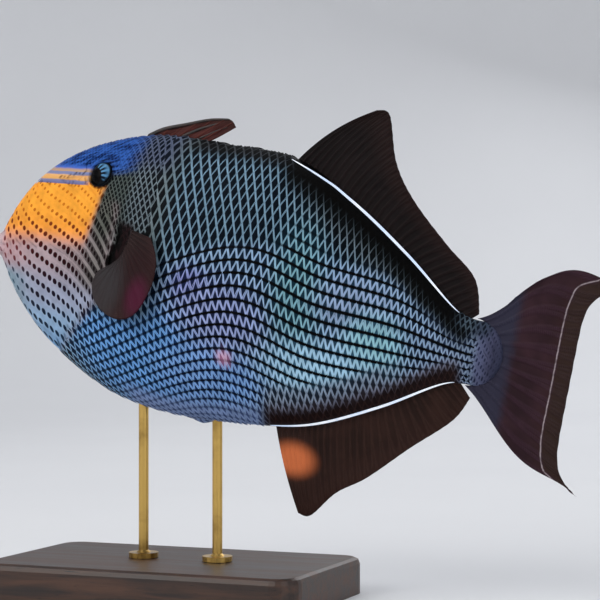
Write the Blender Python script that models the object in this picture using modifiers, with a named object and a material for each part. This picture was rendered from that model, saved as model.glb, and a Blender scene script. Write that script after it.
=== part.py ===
"""Black triggerfish, life size, held nose-up on a plain display stand.

The head is at -X, the left flank at -Y and the stand's underside at Z = 0.
The fish is laid out level in its own axes, x back from the snout and z up from
the level of the mouth, and one empty then tips it nose-up and lifts it.
"""
import math

import bmesh
import bpy
from mathutils import Matrix, Vector

# The fish as a whole
STANDARD_LENGTH = 0.275
NOSE_UP = math.radians(11.3)
AXIS_HEIGHT = 0.150
TURNING_SHARE = 0.50
GAP = 0.0003

# Body stations: place, back, belly and half width, as shares of the standard length
STATIONS = (
    (0.004, 0.020, -0.016, 0.016),
    (0.022, 0.068, -0.044, 0.031),
    (0.060, 0.131, -0.092, 0.048),
    (0.120, 0.186, -0.145, 0.066),
    (0.200, 0.228, -0.192, 0.081),
    (0.300, 0.256, -0.228, 0.092),
    (0.420, 0.261, -0.238, 0.094),
    (0.560, 0.259, -0.225, 0.084),
    (0.680, 0.206, -0.201, 0.066),
    (0.800, 0.132, -0.143, 0.046),
    (0.905, 0.056, -0.079, 0.028),
    (0.960, 0.044, -0.069, 0.018),
    (1.000, 0.046, -0.071, 0.007),
)
BACK_ROUNDNESS = 2.0
REAR_BACK_ROUNDNESS = 1.75
BELLY_ROUNDNESS = 1.85
RING_POINTS = 40
RINGS_PER_STATION = 5
HEAD_END = 0.288
TRUNK_END = 0.905

# The tail stem ends in a bowed face that carries the tail fin
STEM_EDGE = 0.945
STEM_BOW = 0.045
STEM_HALF_HEIGHT = 0.058
STEM_MIDDLE = -0.012
STEM_RINGS = 6

# Lips: two bent rolls round the small mouth, metres
LIP_CORNER = (0.0086, 0.0082)
LIP_FRONT = 0.0026
UPPER_LIP = (0.0036, 0.0030)
LOWER_LIP = (-0.0034, 0.0028)
LIP_CORNER_RADIUS = 0.0011
MOUTH_LINE_RADIUS = 0.0006

# Eyes and what is round them
EYE_PLACE = (0.214, 0.166)
EYE_RADIUS = 0.0069
EYE_DEPTH_RADIUS = 0.0052
EYE_SINK = 0.0025
ORBIT_RADIUS = 0.0068
ORBIT_ROLL = 0.0010
NOSTRILS = ((0.1795, 0.1800), (0.1885, 0.1865))
NOSTRIL_RADIUS = 0.0009
NOSTRIL_ROLL = 0.0004
EYE_GROOVE = ((0.187, 0.158), (0.158, 0.150), (0.128, 0.139))
EYE_GROOVE_RADIUS = 0.0010
GILL_SLIT = ((0.2810, 0.072), (0.2795, 0.055), (0.2760, 0.037), (0.2710, 0.021))
GILL_RADIUS = 0.0012

# Rough knob at the end of the pelvic bone
KNOB_PLACE = 0.468
KNOB_SIZE = (0.0055, 0.0022, 0.0034)

# Fins: how many rays, and how thick the rays and the web are at root and edge
DORSAL_RAYS = 32
ANAL_RAYS = 29
TAIL_RAYS = 12
PECTORAL_RAYS = 15
RAY_THICK = (0.0019, 0.0009)
WEB_THICK = (0.0011, 0.0005)

# Second dorsal fin: ends of its base, and the line of its ray tips from front to back
DORSAL_BASE = (0.560, 0.905)
DORSAL_TIPS = (
    (0.692, 0.366), (0.716, 0.360), (0.745, 0.283), (0.790, 0.224), (0.850, 0.172),
    (0.905, 0.124), (0.934, 0.078),
)
DORSAL_BOW = 0.011

# Anal fin, the same way
ANAL_BASE = (0.612, 0.908)
ANAL_TIPS = (
    (0.684, -0.358), (0.708, -0.356), (0.748, -0.306), (0.800, -0.266), (0.860, -0.218),
    (0.908, -0.156), (0.936, -0.090),
)
ANAL_BOW = -0.004

# First dorsal fin, folded low: base, upper edge, and its three spines
SPINE_BASE = (0.262, 0.412)
SPINE_EDGE = (
    (0.262, 0.264), (0.305, 0.277), (0.352, 0.292), (0.398, 0.305), (0.424, 0.306),
    (0.434, 0.293),
)
FIRST_SPINE = (0.0034, 0.0014)
SPINE_COLUMNS = 12
SPINE_RIDGES = {4: 0.0020, 8: 0.0015}
SPINE_ROWS = (0.0, 0.35, 0.68, 0.84, 0.94, 1.0)

# Tail fin: a shallow crescent with drawn-out lobes
TAIL_TOP = (1.208, 0.154)
TAIL_BOTTOM = (1.200, -0.238)
TAIL_NOTCH = 1.118
TAIL_LOBE_POWER = 7.5
TAIL_EDGE_BOW = (0.055, -0.027)
TAIL_EDGE_POWER = 2.5
TAIL_FORK = 0.42

# Pectoral fin: a rounded paddle swung down, its rays fanned from a short root
PECTORAL_ROOT = ((0.308, 0.080), (0.296, 0.018))
PECTORAL_FAN = (
    (-8.0, 0.048), (-24.0, 0.080), (-46.0, 0.108), (-69.0, 0.126), (-101.0, 0.094),
    (-146.0, 0.036),
)
PECTORAL_SPREAD = math.radians(17.0)

# Stand: a flat wooden base and two rods that end in sockets in the belly
BASE_SIZE = (0.170, 0.100, 0.018)
BASE_CORNER = 0.012
BASE_EDGE = 0.003
BASE_UNDER = 0.410
ROD_STATIONS = (0.350, 0.500)
ROD_RADIUS = 0.0025
ROD_IN_BELLY = 0.009
ROD_FOOT = (0.0075, 0.0025)
ROD_SIDES = 20


def material(name, colour, roughness, metallic=0.0):
    """A plain surface of one colour."""
    made = bpy.data.materials.new(name)
    made.use_nodes = True
    shader = made.node_tree.nodes["Principled BSDF"]
    shader.inputs["Base Color"].default_value = (*colour, 1.0)
    shader.inputs["Roughness"].default_value = roughness
    shader.inputs["Metallic"].default_value = metallic
    return made


def collection(name):
    """A new collection in the scene."""
    made = bpy.data.collections.new(name)
    bpy.context.scene.collection.children.link(made)
    return made


def mix(a, b, share):
    """The value a share of the way from a to b."""
    return a + (b - a) * share


def through(rows, t):
    """A smooth curve through rows of numbers, one row to each whole t."""
    i = max(0, min(int(t), len(rows) - 2))
    f = t - i
    before = rows[max(i - 1, 0)]
    after = rows[min(i + 2, len(rows) - 1)]
    point = []
    for p, q, r, s in zip(before, rows[i], rows[i + 1], after):
        cubic = 3 * q - p - 3 * r + s
        square = 2 * p - 5 * q + 4 * r - s
        point.append(0.5 * (2 * q + (r - p) * f + square * f * f + cubic * f ** 3))
    return point


def along(rows, share):
    """The point a share of the way along a smooth curve through rows."""
    return through(rows, share * (len(rows) - 1))


def station_number(place):
    """The station number, with its fraction, at a place along the body."""
    low, high = 0.0, len(STATIONS) - 1.0
    for _ in range(40):
        middle = (low + high) / 2
        if through(STATIONS, middle)[0] < place:
            low = middle
        else:
            high = middle
    return (low + high) / 2


def section(place):
    """Back, belly and half width at a place along the body."""
    return through(STATIONS, station_number(place))[1:]


def roundness(place, above):
    """Exponent of the section: 2 is an ellipse, less is leaner."""
    if not above:
        return BELLY_ROUNDNESS
    share = min(1.0, max(0.0, (place - 0.45) / 0.25))
    return mix(BACK_ROUNDNESS, REAR_BACK_ROUNDNESS, share)


def ring_point(place, back, belly, half_width, turn):
    """A point of a section, in shares: turn 0 is the back and pi is the belly."""
    middle = (back + belly) / 2
    above = math.cos(turn) >= 0
    power = 2 / roundness(place, above)
    across = half_width * math.copysign(abs(math.sin(turn)) ** power, math.sin(turn))
    up = (back - middle) * math.copysign(abs(math.cos(turn)) ** power, math.cos(turn))
    return Vector((place, across, middle + up))


def flank_width(place, level):
    """Half width of the body at a place and level, in shares."""
    back, belly, half_width = section(place)
    middle = (back + belly) / 2
    lift = min(1.0, abs(level - middle) / (back - middle))
    power = roundness(place, level >= middle)
    return half_width * (1 - lift ** power) ** (1 / power)


def flank(place, level, side):
    """A point on the flank, metres: side -1 is the left flank."""
    return Vector((place, side * flank_width(place, level), level)) * STANDARD_LENGTH


def flank_normal(place, level, side):
    """The outward direction of the flank."""
    step = 0.004
    fore_aft = flank(place + step, level, side) - flank(place - step, level, side)
    up_down = flank(place, level + step, side) - flank(place, level - step, side)
    normal = fore_aft.cross(up_down).normalized()
    return normal if normal.y * side > 0 else -normal


def facing(point, direction):
    """A frame at a point whose Z runs along the direction."""
    turned = direction.to_track_quat("Z", "Y").to_matrix().to_4x4()
    return Matrix.Translation(point) @ turned


def add_object(name, mesh, place, surface=None, parent=None):
    """An object for a mesh, in a collection."""
    made = bpy.data.objects.new(name, mesh)
    place.objects.link(made)
    if surface:
        mesh.materials.append(surface)
    if parent:
        made.parent = parent
    return made


def finished(bm, name):
    """A triangulated mesh with its faces turned outwards."""
    bmesh.ops.remove_doubles(bm, verts=bm.verts, dist=1e-6)
    bmesh.ops.triangulate(bm, faces=bm.faces)
    bmesh.ops.recalc_face_normals(bm, faces=bm.faces)
    mesh = bpy.data.meshes.new(name)
    bm.to_mesh(mesh)
    bm.free()
    return mesh


def lofted(rings, name, first_pole=None, last_pole=None):
    """A closed body through rings of equal count, each end a pole or a flat cap."""
    bm = bmesh.new()
    rows = [[bm.verts.new(p * STANDARD_LENGTH) for p in ring] for ring in rings]
    count = len(rows[0])
    for row, following in zip(rows, rows[1:]):
        for i in range(count):
            j = (i + 1) % count
            bm.faces.new((row[i], row[j], following[j], following[i]))
    for row, pole in ((rows[0], first_pole), (rows[-1], last_pole)):
        if pole is None:
            for i in range(1, count // 2):
                a, b = row[i - 1], row[i]
                c, d = row[(count - i) % count], row[(count - i + 1) % count]
                bm.faces.new((a, b, c, d) if i > 1 else (a, b, c))
            bm.faces.new((row[count // 2 - 1], row[count // 2], row[count // 2 + 1]))
        else:
            tip = bm.verts.new(pole * STANDARD_LENGTH)
            for i in range(count):
                bm.faces.new((row[i], row[(i + 1) % count], tip))
    return finished(bm, name)


def body_ring(number, place=None):
    """The ring of points at a station number."""
    at, back, belly, half_width = through(STATIONS, number)
    at = at if place is None else place
    turns = [math.tau * i / RING_POINTS for i in range(RING_POINTS)]
    return [ring_point(at, back, belly, half_width, turn) for turn in turns]


def body_rings(first_place, last_place):
    """Rings from one place to another, closest where the stations are."""
    first, last = station_number(first_place), station_number(last_place)
    count = max(2, round((last - first) * RINGS_PER_STATION))
    rings = [body_ring(mix(first, last, i / count)) for i in range(count + 1)]
    for ring, place in ((rings[0], first_place), (rings[-1], last_place)):
        for point in ring:
            point.x = place
    return rings


def tube(name, points, radii, place, cyclic=False, parent=None, fineness=1):
    """A closed mesh tube along points, its radius given at each."""
    curve = bpy.data.curves.new(name, "CURVE")
    curve.dimensions = "3D"
    curve.bevel_depth = 1.0
    curve.bevel_resolution = fineness
    curve.use_fill_caps = True
    spline = curve.splines.new("POLY")
    spline.points.add(len(points) - 1)
    for target, point, radius in zip(spline.points, points, radii):
        target.co = (*point, 1.0)
        target.radius = radius
    spline.use_cyclic_u = cyclic
    guide = add_object(name + "_guide", curve, place, parent=parent)
    bpy.context.view_layer.update()
    evaluated = guide.evaluated_get(bpy.context.evaluated_depsgraph_get())
    mesh = bpy.data.meshes.new_from_object(evaluated)
    bm = bmesh.new()
    bm.from_mesh(mesh)
    mesh = finished(bm, name)
    bpy.data.objects.remove(guide)
    return add_object(name, mesh, place, parent=parent)


def ball(name, radii, frame, place, parent=None, segments=20, rings=12):
    """An ellipsoid in a frame."""
    bm = bmesh.new()
    bmesh.ops.create_uvsphere(bm, u_segments=segments, v_segments=rings, radius=1.0)
    bmesh.ops.transform(bm, matrix=frame @ Matrix.Diagonal((*radii, 1.0)), verts=bm.verts)
    return add_object(name, finished(bm, name), place, parent=parent)


def keep_largest(mesh):
    """Drops every closed surface of a mesh but its largest."""
    bm = bmesh.new()
    bm.from_mesh(mesh)
    bmesh.ops.remove_doubles(bm, verts=bm.verts, dist=2e-6)
    bmesh.ops.dissolve_degenerate(bm, edges=bm.edges, dist=2e-6)
    bmesh.ops.triangulate(bm, faces=bm.faces)
    left = set(bm.verts)
    pieces = []
    while left:
        queue = [left.pop()]
        piece = set(queue)
        while queue:
            for edge in queue.pop().link_edges:
                for vert in edge.verts:
                    if vert not in piece:
                        piece.add(vert)
                        queue.append(vert)
        left -= piece
        pieces.append(piece)
    pieces.sort(key=len)
    loose = [vert for piece in pieces[:-1] for vert in piece]
    bmesh.ops.delete(bm, geom=loose, context="VERTS")
    bmesh.ops.recalc_face_normals(bm, faces=bm.faces)
    bm.to_mesh(mesh)
    bm.free()


def combine(body, operation, tools):
    """Joins or cuts a body with all objects of a collection, which are then removed."""
    if not tools.objects:
        return
    modifier = body.modifiers.new(operation.lower(), "BOOLEAN")
    modifier.operation = operation
    modifier.operand_type = "COLLECTION"
    modifier.collection = tools
    modifier.solver = "EXACT"
    bpy.context.view_layer.update()
    evaluated = body.evaluated_get(bpy.context.evaluated_depsgraph_get())
    mesh = bpy.data.meshes.new_from_object(evaluated)
    body.modifiers.remove(modifier)
    body.data = mesh
    keep_largest(mesh)
    for tool in list(tools.objects):
        bpy.data.objects.remove(tool)


def make_head(parts, added, cutters, pose, surface):
    """The head, with lips, eye sockets, orbital rims, nostrils and gill slits."""
    mesh = lofted(body_rings(STATIONS[0][0], HEAD_END - GAP / 2 / STANDARD_LENGTH), "head",
                  first_pole=Vector((0.0, 0.0, 0.0)))
    head = add_object("head", mesh, parts, surface, pose)
    steps = [i / 7 - 1 for i in range(15)]
    for name, (level, radius) in (("upper_lip", UPPER_LIP), ("lower_lip", LOWER_LIP)):
        points = []
        for step in steps:
            x = mix(LIP_FRONT, LIP_CORNER[0], abs(step) ** 2.4)
            y = LIP_CORNER[1] * math.sin(step * math.pi / 2)
            points.append((x, y, level * (1 - 0.75 * step * step)))
        radii = [mix(radius, LIP_CORNER_RADIUS, step * step) for step in steps]
        tube(name, points, radii, added, parent=pose, fineness=2)
    for side in (-1, 1):
        centre = flank(*EYE_PLACE, side)
        frame = facing(centre, flank_normal(*EYE_PLACE, side))
        rim = []
        for i in range(20):
            turn = math.tau * i / 20
            spot = frame @ (Vector((math.cos(turn), math.sin(turn), 0.0)) * ORBIT_RADIUS)
            rim.append(flank(spot.x / STANDARD_LENGTH, spot.z / STANDARD_LENGTH, side))
        tube("orbit", rim, [ORBIT_ROLL] * len(rim), added, cyclic=True, parent=pose)
        for spot in NOSTRILS:
            frame = facing(flank(*spot, side), flank_normal(*spot, side))
            ring = []
            for i in range(6):
                turn = math.tau * i / 6
                spoke = Vector((math.cos(turn), math.sin(turn), 0.0))
                ring.append(frame @ (spoke * NOSTRIL_RADIUS))
            tube("nostril_rim", ring, [NOSTRIL_ROLL] * 6, added, cyclic=True, parent=pose)
    combine(head, "UNION", added)
    mouth = []
    for step in steps:
        x = mix(LIP_FRONT - UPPER_LIP[1] * 0.85, LIP_CORNER[0], abs(step) ** 2.4)
        y = (LIP_CORNER[1] + 0.8 * LIP_CORNER_RADIUS) * math.sin(step * math.pi / 2)
        mouth.append((x, y, 0.0001))
    tube("mouth_line", mouth, [MOUTH_LINE_RADIUS] * len(mouth), cutters, parent=pose)
    for side in (-1, 1):
        normal = flank_normal(*EYE_PLACE, side)
        frame = facing(flank(*EYE_PLACE, side) - normal * EYE_SINK, normal)
        radii = (EYE_RADIUS + GAP, EYE_RADIUS + GAP, EYE_DEPTH_RADIUS + GAP)
        ball("eye_socket", radii, frame, cutters, pose)
        for spot in NOSTRILS:
            frame = facing(flank(*spot, side), flank_normal(*spot, side))
            ball("nostril", (NOSTRIL_RADIUS * 0.8, NOSTRIL_RADIUS * 0.8, 0.0018), frame,
                 cutters, pose, 8, 6)
        for name, line, radius in (("eye_groove", EYE_GROOVE, EYE_GROOVE_RADIUS),
                                   ("gill_slit", GILL_SLIT, GILL_RADIUS)):
            path = [along(line, i / 8) for i in range(9)]
            points = [flank(*spot, side) for spot in path]
            radii = [radius * mix(0.35, 1.0, math.sin(math.pi * i / 8)) for i in range(9)]
            tube(name, points, radii, cutters, parent=pose)
    combine(head, "DIFFERENCE", cutters)
    return head


def make_eyes(parts, pose, surface):
    """Two eyeballs, each a lens-shaped ball in its socket."""
    for name, side in (("eye_left", -1), ("eye_right", 1)):
        normal = flank_normal(*EYE_PLACE, side)
        frame = facing(flank(*EYE_PLACE, side) - normal * EYE_SINK, normal)
        eye = ball(name, (EYE_RADIUS, EYE_RADIUS, EYE_DEPTH_RADIUS), frame, parts, pose, 16, 10)
        eye.data.materials.append(surface)


def rod_frame(place, pose):
    """Where a rod's axis meets the belly, in the stand's axes."""
    belly = Vector((place, 0.0, section(place)[1])) * STANDARD_LENGTH
    return pose.matrix_world @ belly


def make_trunk(parts, added, cutters, pose, stand, surface):
    """The trunk, with the pelvic knob and the two rod sockets."""
    half = GAP / 2 / STANDARD_LENGTH
    mesh = lofted(body_rings(HEAD_END + half, TRUNK_END - half), "trunk")
    trunk = add_object("trunk", mesh, parts, surface, pose)
    belly = section(KNOB_PLACE)[1] * STANDARD_LENGTH
    spot = Vector((KNOB_PLACE * STANDARD_LENGTH, 0.0, belly + KNOB_SIZE[2] * 0.45))
    lean = Matrix.Rotation(math.radians(-8.0), 4, "Y")
    ball("pelvic_knob", KNOB_SIZE, Matrix.Translation(spot) @ lean, added, pose, 14, 8)
    combine(trunk, "UNION", added)
    for place in ROD_STATIONS:
        spot = rod_frame(place, pose)
        bm = bmesh.new()
        top, bottom = spot.z + ROD_IN_BELLY + GAP, spot.z - 0.006
        bmesh.ops.create_cone(bm, cap_ends=True, segments=ROD_SIDES, radius1=ROD_RADIUS + GAP,
                              radius2=ROD_RADIUS + GAP, depth=top - bottom)
        centre = Vector((spot.x, 0.0, (top + bottom) / 2))
        bmesh.ops.translate(bm, verts=bm.verts, vec=centre)
        add_object("rod_socket", finished(bm, "rod_socket"), cutters, parent=stand)
    combine(trunk, "DIFFERENCE", cutters)


def stem_end(rise):
    """How far back the stem's end face stands, where rise runs from belly to back."""
    return STEM_EDGE + STEM_BOW * math.sqrt(max(0.0, 1 - rise * rise))


def make_tail_stem(parts, pose, surface):
    """The tail stem, from the trunk to its bowed end face."""
    start = TRUNK_END + GAP / 2 / STANDARD_LENGTH
    rings = []
    for k in range(STEM_RINGS + 1):
        share = k / STEM_RINGS
        ring = []
        for i in range(RING_POINTS):
            turn = math.tau * i / RING_POINTS
            place = mix(start, stem_end(math.cos(turn)), share)
            ring.append(ring_point(place, *section(place), turn))
        rings.append(ring)
    add_object("tail_stem", lofted(rings, "tail_stem"), parts, surface, pose)


def ribbed_fin(name, columns, rows, point_at, thickness_at, parts, surface, pose):
    """A thin sheet, thicker along its rays: columns run along the root, rows outwards."""
    bm = bmesh.new()
    across, out = len(columns) - 1, len(rows) - 1
    bmesh.ops.create_grid(bm, x_segments=across, y_segments=out, size=1.0)
    cells = []
    for vert in bm.verts:
        i = round((vert.co.x + 1) / 2 * across)
        j = round((vert.co.y + 1) / 2 * out)
        cells.append((i, j))
        vert.co = point_at(columns[i], rows[j]) * STANDARD_LENGTH
    bmesh.ops.triangulate(bm, faces=bm.faces, quad_method="SHORT_EDGE")
    mesh = bpy.data.meshes.new(name)
    bm.to_mesh(mesh)
    bm.free()
    fin = add_object(name, mesh, parts, surface, pose)
    thickest = max(thickness_at(i, v) for i in range(len(columns)) for v in rows)
    group = fin.vertex_groups.new(name="thickness")
    for index, (i, j) in enumerate(cells):
        group.add([index], thickness_at(i, rows[j]) / thickest, "REPLACE")
    solid = fin.modifiers.new("thickness", "SOLIDIFY")
    solid.thickness = thickest
    solid.offset = 0.0
    solid.vertex_group = group.name
    solid.thickness_vertex_group = 0.0
    return fin


def alternating(rays):
    """Columns of a fin with a ray at each even one and web between."""
    return [i / (2 * rays - 2) for i in range(2 * rays - 1)]


def ray_or_web(index, v):
    """Thickness of such a fin, thinner towards its edge."""
    root, edge = RAY_THICK if index % 2 == 0 else WEB_THICK
    return mix(root, edge, v)


def median_fin(base, tips, bow, upper):
    """The surface of a fin on the back or belly, from its root to its ray tips."""
    def point_at(u, v):
        place = mix(base[0], base[1], u)
        back, belly, _ = section(place)
        lift = 1.3 * GAP / STANDARD_LENGTH
        root = Vector((place, 0.0, back + lift if upper else belly - lift))
        tip_place, tip_level = along(tips, u)
        tip = Vector((tip_place, 0.0, tip_level))
        ray = tip - root
        out = Vector((-ray.z, 0.0, ray.x)).normalized()
        wave = 0.004 * v * v * math.sin(math.tau * (1.4 * u + 0.1))
        point = root + ray * v + out * (bow * 4 * v * (1 - v) * (1 - u))
        return point + Vector((0.0, wave, 0.0))
    return point_at


def spine_fin_point(u, v):
    """The surface of the folded first dorsal fin."""
    place = mix(SPINE_BASE[0], SPINE_BASE[1], u)
    root = Vector((place, 0.0, section(place)[0] + 1.3 * GAP / STANDARD_LENGTH))
    edge_place, edge_level = along(SPINE_EDGE, u)
    edge = Vector((edge_place, 0.0, edge_level))
    return root.lerp(edge, v)


def spine_fin_thickness(index, v):
    """Thick along the first spine at the upper edge, and along the other two spines."""
    u = index / SPINE_COLUMNS
    spine = mix(FIRST_SPINE[0], FIRST_SPINE[1], u)
    web = mix(WEB_THICK[0], 0.0008, v)
    if index in SPINE_RIDGES:
        web = mix(SPINE_RIDGES[index], 0.0012, v)
    if index == 0 or (v >= 0.9 and u < 0.92):
        return spine if v < 1.0 else spine * 0.6
    return web


def tail_fin_columns():
    """Each forked ray has two branches beside its middle, with web between rays."""
    columns, kinds = [], []
    last = TAIL_RAYS - 1
    for k in range(TAIL_RAYS):
        for offset, kind in ((-0.22, "branch"), (0.0, "middle"), (0.22, "branch"), (0.5, "web")):
            u = (k + offset) / last
            if 0.0 <= u <= 1.0:
                columns.append(u)
                kinds.append("edge" if kind == "middle" and k in (0, last) else kind)
    return columns, kinds


def tail_fin_point(u, v):
    """The surface of the tail fin, from the stem's end face to its hollow edge."""
    rise = math.cos(math.pi * u)
    root = Vector((stem_end(rise) + 1.3 * GAP / STANDARD_LENGTH, 0.0,
                   STEM_MIDDLE + rise * STEM_HALF_HEIGHT))
    lobe = abs(2 * u - 1) ** TAIL_LOBE_POWER
    reach = mix(TAIL_TOP[0], TAIL_BOTTOM[0], u) - TAIL_NOTCH
    edge = Vector((TAIL_NOTCH + reach * lobe, 0.0, mix(TAIL_TOP[1], TAIL_BOTTOM[1], u)))
    bow = mix(TAIL_EDGE_BOW[0], TAIL_EDGE_BOW[1], u) * abs(2 * u - 1) ** 1.5
    point = root.lerp(edge, v)
    point.z += bow * (4 * v * (1 - v)) ** TAIL_EDGE_POWER
    point.y += 0.010 * v * v
    return point


def pectoral_point(side):
    """The surface of a pectoral fin, fanned from its root on the flank."""
    def point_at(u, v):
        place = mix(PECTORAL_ROOT[0][0], PECTORAL_ROOT[1][0], u)
        level = mix(PECTORAL_ROOT[0][1], PECTORAL_ROOT[1][1], u)
        degrees, length = along(PECTORAL_FAN, u)
        turn = math.radians(degrees)
        stand_off = 3.0 * GAP / STANDARD_LENGTH
        width = flank_width(place, level) + stand_off
        away = math.sin(PECTORAL_SPREAD) * length * v * mix(1.15, 0.85, v)
        return Vector((place + math.cos(turn) * length * v,
                       side * (width + away),
                       level + math.sin(turn) * length * v))
    return point_at


def make_fins(parts, pose, surfaces):
    """All fins, each a sheet whose rays stand out of its own two faces."""
    rows = [i / 5 for i in range(6)]
    web = surfaces["fin"]
    ribbed_fin("first_dorsal_fin", [i / SPINE_COLUMNS for i in range(SPINE_COLUMNS + 1)],
               SPINE_ROWS, spine_fin_point, spine_fin_thickness, parts, surfaces["spine"], pose)
    ribbed_fin("second_dorsal_fin", alternating(DORSAL_RAYS), rows,
               median_fin(DORSAL_BASE, DORSAL_TIPS, DORSAL_BOW, True), ray_or_web, parts, web,
               pose)
    ribbed_fin("anal_fin", alternating(ANAL_RAYS), rows,
               median_fin(ANAL_BASE, ANAL_TIPS, ANAL_BOW, False), ray_or_web, parts, web, pose)
    columns, kinds = tail_fin_columns()

    def tail_thickness(index, v):
        kind = kinds[index]
        if kind == "edge" or kind == "branch" or (kind == "middle" and v < TAIL_FORK):
            return mix(*RAY_THICK, v)
        return mix(*WEB_THICK, v)

    tail_rows = [i / 9 for i in range(10)]
    ribbed_fin("caudal_fin", columns, tail_rows, tail_fin_point, tail_thickness, parts,
               surfaces["tail"], pose)
    for name, side in (("pectoral_fin_left", -1), ("pectoral_fin_right", 1)):
        ribbed_fin(name, alternating(PECTORAL_RAYS), rows, pectoral_point(side),
                   lambda i, v: ray_or_web(i, v) * 0.75, parts, surfaces["pectoral"], pose)


def make_stand(parts, stand, pose, surfaces):
    """The wooden base and the two rods."""
    centre = rod_frame(BASE_UNDER, pose)
    bm = bmesh.new()
    bmesh.ops.create_cube(bm, size=1.0)
    bmesh.ops.scale(bm, verts=bm.verts, vec=BASE_SIZE)
    upright = [e for e in bm.edges if abs(e.verts[0].co.z - e.verts[1].co.z) > 0.001]
    bmesh.ops.bevel(bm, geom=upright, offset=BASE_CORNER, segments=6, affect="EDGES",
                    profile=0.5)
    rim = [e for e in bm.edges if min(v.co.z for v in e.verts) > BASE_SIZE[2] * 0.49]
    bmesh.ops.bevel(bm, geom=rim, offset=BASE_EDGE, segments=2, affect="EDGES", profile=0.5)
    bmesh.ops.translate(bm, verts=bm.verts, vec=(centre.x, 0.0, BASE_SIZE[2] / 2))
    add_object("stand_base", finished(bm, "stand_base"), parts, surfaces["wood"], stand)
    foot_radius, foot_height = ROD_FOOT
    for name, place in zip(("stand_rod_front", "stand_rod_rear"), ROD_STATIONS):
        spot = rod_frame(place, pose)
        bottom = BASE_SIZE[2] + GAP
        top = spot.z + ROD_IN_BELLY
        profile = (
            (0.0, top), (ROD_RADIUS, top), (ROD_RADIUS, bottom + foot_height + 0.0012),
            (ROD_RADIUS + 0.0012, bottom + foot_height), (foot_radius, bottom + foot_height),
            (foot_radius, bottom), (0.0, bottom),
        )
        bm = bmesh.new()
        verts = [bm.verts.new((x, 0.0, z)) for x, z in profile]
        edges = [bm.edges.new(pair) for pair in zip(verts, verts[1:])]
        bmesh.ops.spin(bm, geom=verts + edges, cent=(0, 0, 0), axis=(0, 0, 1),
                       angle=math.tau, steps=ROD_SIDES, use_merge=True, use_duplicate=False)
        bmesh.ops.translate(bm, verts=bm.verts, vec=(spot.x, 0.0, 0.0))
        add_object(name, finished(bm, name), parts, surfaces["brass"], stand)


def centre_on_floor(parts, stand):
    """Moves the whole to stand with its box's middle over the origin."""
    bpy.context.view_layer.update()
    depsgraph = bpy.context.evaluated_depsgraph_get()
    reach = []
    for part in parts.objects:
        evaluated = part.evaluated_get(depsgraph)
        for vert in evaluated.data.vertices:
            reach.append((part.matrix_world @ vert.co).x)
    stand.location.x -= (min(reach) + max(reach)) / 2
    bpy.context.view_layer.update()


def build():
    """Makes the whole object."""
    for old in list(bpy.data.objects):
        bpy.data.objects.remove(old)
    parts = collection("black_triggerfish")
    guides = collection("guides")
    added = collection("added")
    cutters = collection("cutters")
    stand = bpy.data.objects.new("stand_frame", None)
    pose = bpy.data.objects.new("fish_frame", None)
    guides.objects.link(stand)
    guides.objects.link(pose)
    pose.parent = stand
    pose.rotation_euler = (0.0, NOSE_UP, 0.0)
    turning = Vector((TURNING_SHARE * STANDARD_LENGTH, 0.0, 0.0))
    turning.rotate(pose.rotation_euler)
    pose.location = Vector((0.0, 0.0, AXIS_HEIGHT)) - turning
    bpy.context.view_layer.update()

    flesh = material("scaled_skin", (0.010, 0.022, 0.034), 0.45)
    surfaces = {
        "eye": material("eye", (0.010, 0.030, 0.140), 0.12),
        "fin": material("dark_fin", (0.016, 0.012, 0.012), 0.50),
        "spine": material("spined_fin", (0.060, 0.026, 0.022), 0.50),
        "tail": material("tail_fin", (0.045, 0.022, 0.026), 0.50),
        "pectoral": material("pectoral_fin", (0.050, 0.022, 0.030), 0.50),
        "wood": material("dark_wood", (0.055, 0.026, 0.014), 0.40),
        "brass": material("brass", (0.620, 0.430, 0.180), 0.30, 1.0),
    }
    make_head(parts, added, cutters, pose, flesh)
    make_eyes(parts, pose, surfaces["eye"])
    make_trunk(parts, added, cutters, pose, stand, flesh)
    make_tail_stem(parts, pose, flesh)
    make_fins(parts, pose, surfaces)
    make_stand(parts, stand, pose, surfaces)
    centre_on_floor(parts, stand)


build()
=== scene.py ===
import math

import bmesh
import bpy
import numpy as np
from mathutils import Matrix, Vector


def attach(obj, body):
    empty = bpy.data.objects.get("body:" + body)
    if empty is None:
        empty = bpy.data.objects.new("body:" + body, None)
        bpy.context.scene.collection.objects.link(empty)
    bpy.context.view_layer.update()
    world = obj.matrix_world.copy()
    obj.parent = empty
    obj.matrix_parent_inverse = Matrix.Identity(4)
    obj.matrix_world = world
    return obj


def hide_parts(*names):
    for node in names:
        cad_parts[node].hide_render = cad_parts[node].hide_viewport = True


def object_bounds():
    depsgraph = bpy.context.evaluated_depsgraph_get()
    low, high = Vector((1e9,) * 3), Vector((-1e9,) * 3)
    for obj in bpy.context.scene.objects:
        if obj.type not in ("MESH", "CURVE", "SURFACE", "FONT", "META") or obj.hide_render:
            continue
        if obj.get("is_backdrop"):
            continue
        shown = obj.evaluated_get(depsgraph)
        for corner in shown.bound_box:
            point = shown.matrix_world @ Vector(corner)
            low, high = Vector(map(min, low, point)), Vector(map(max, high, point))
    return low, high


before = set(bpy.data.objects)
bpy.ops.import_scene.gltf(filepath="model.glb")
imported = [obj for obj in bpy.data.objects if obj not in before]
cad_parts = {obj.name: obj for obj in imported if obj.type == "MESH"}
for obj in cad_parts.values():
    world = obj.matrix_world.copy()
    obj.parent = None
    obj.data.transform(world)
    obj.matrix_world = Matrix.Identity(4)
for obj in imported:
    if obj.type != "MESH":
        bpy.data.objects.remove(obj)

cad_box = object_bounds()


# Studio
# The model stands on a pale floor that rises into a round backdrop, under soft panel lights.
# The camera looks at the left flank from a little behind the middle, level with the fish.

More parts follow.
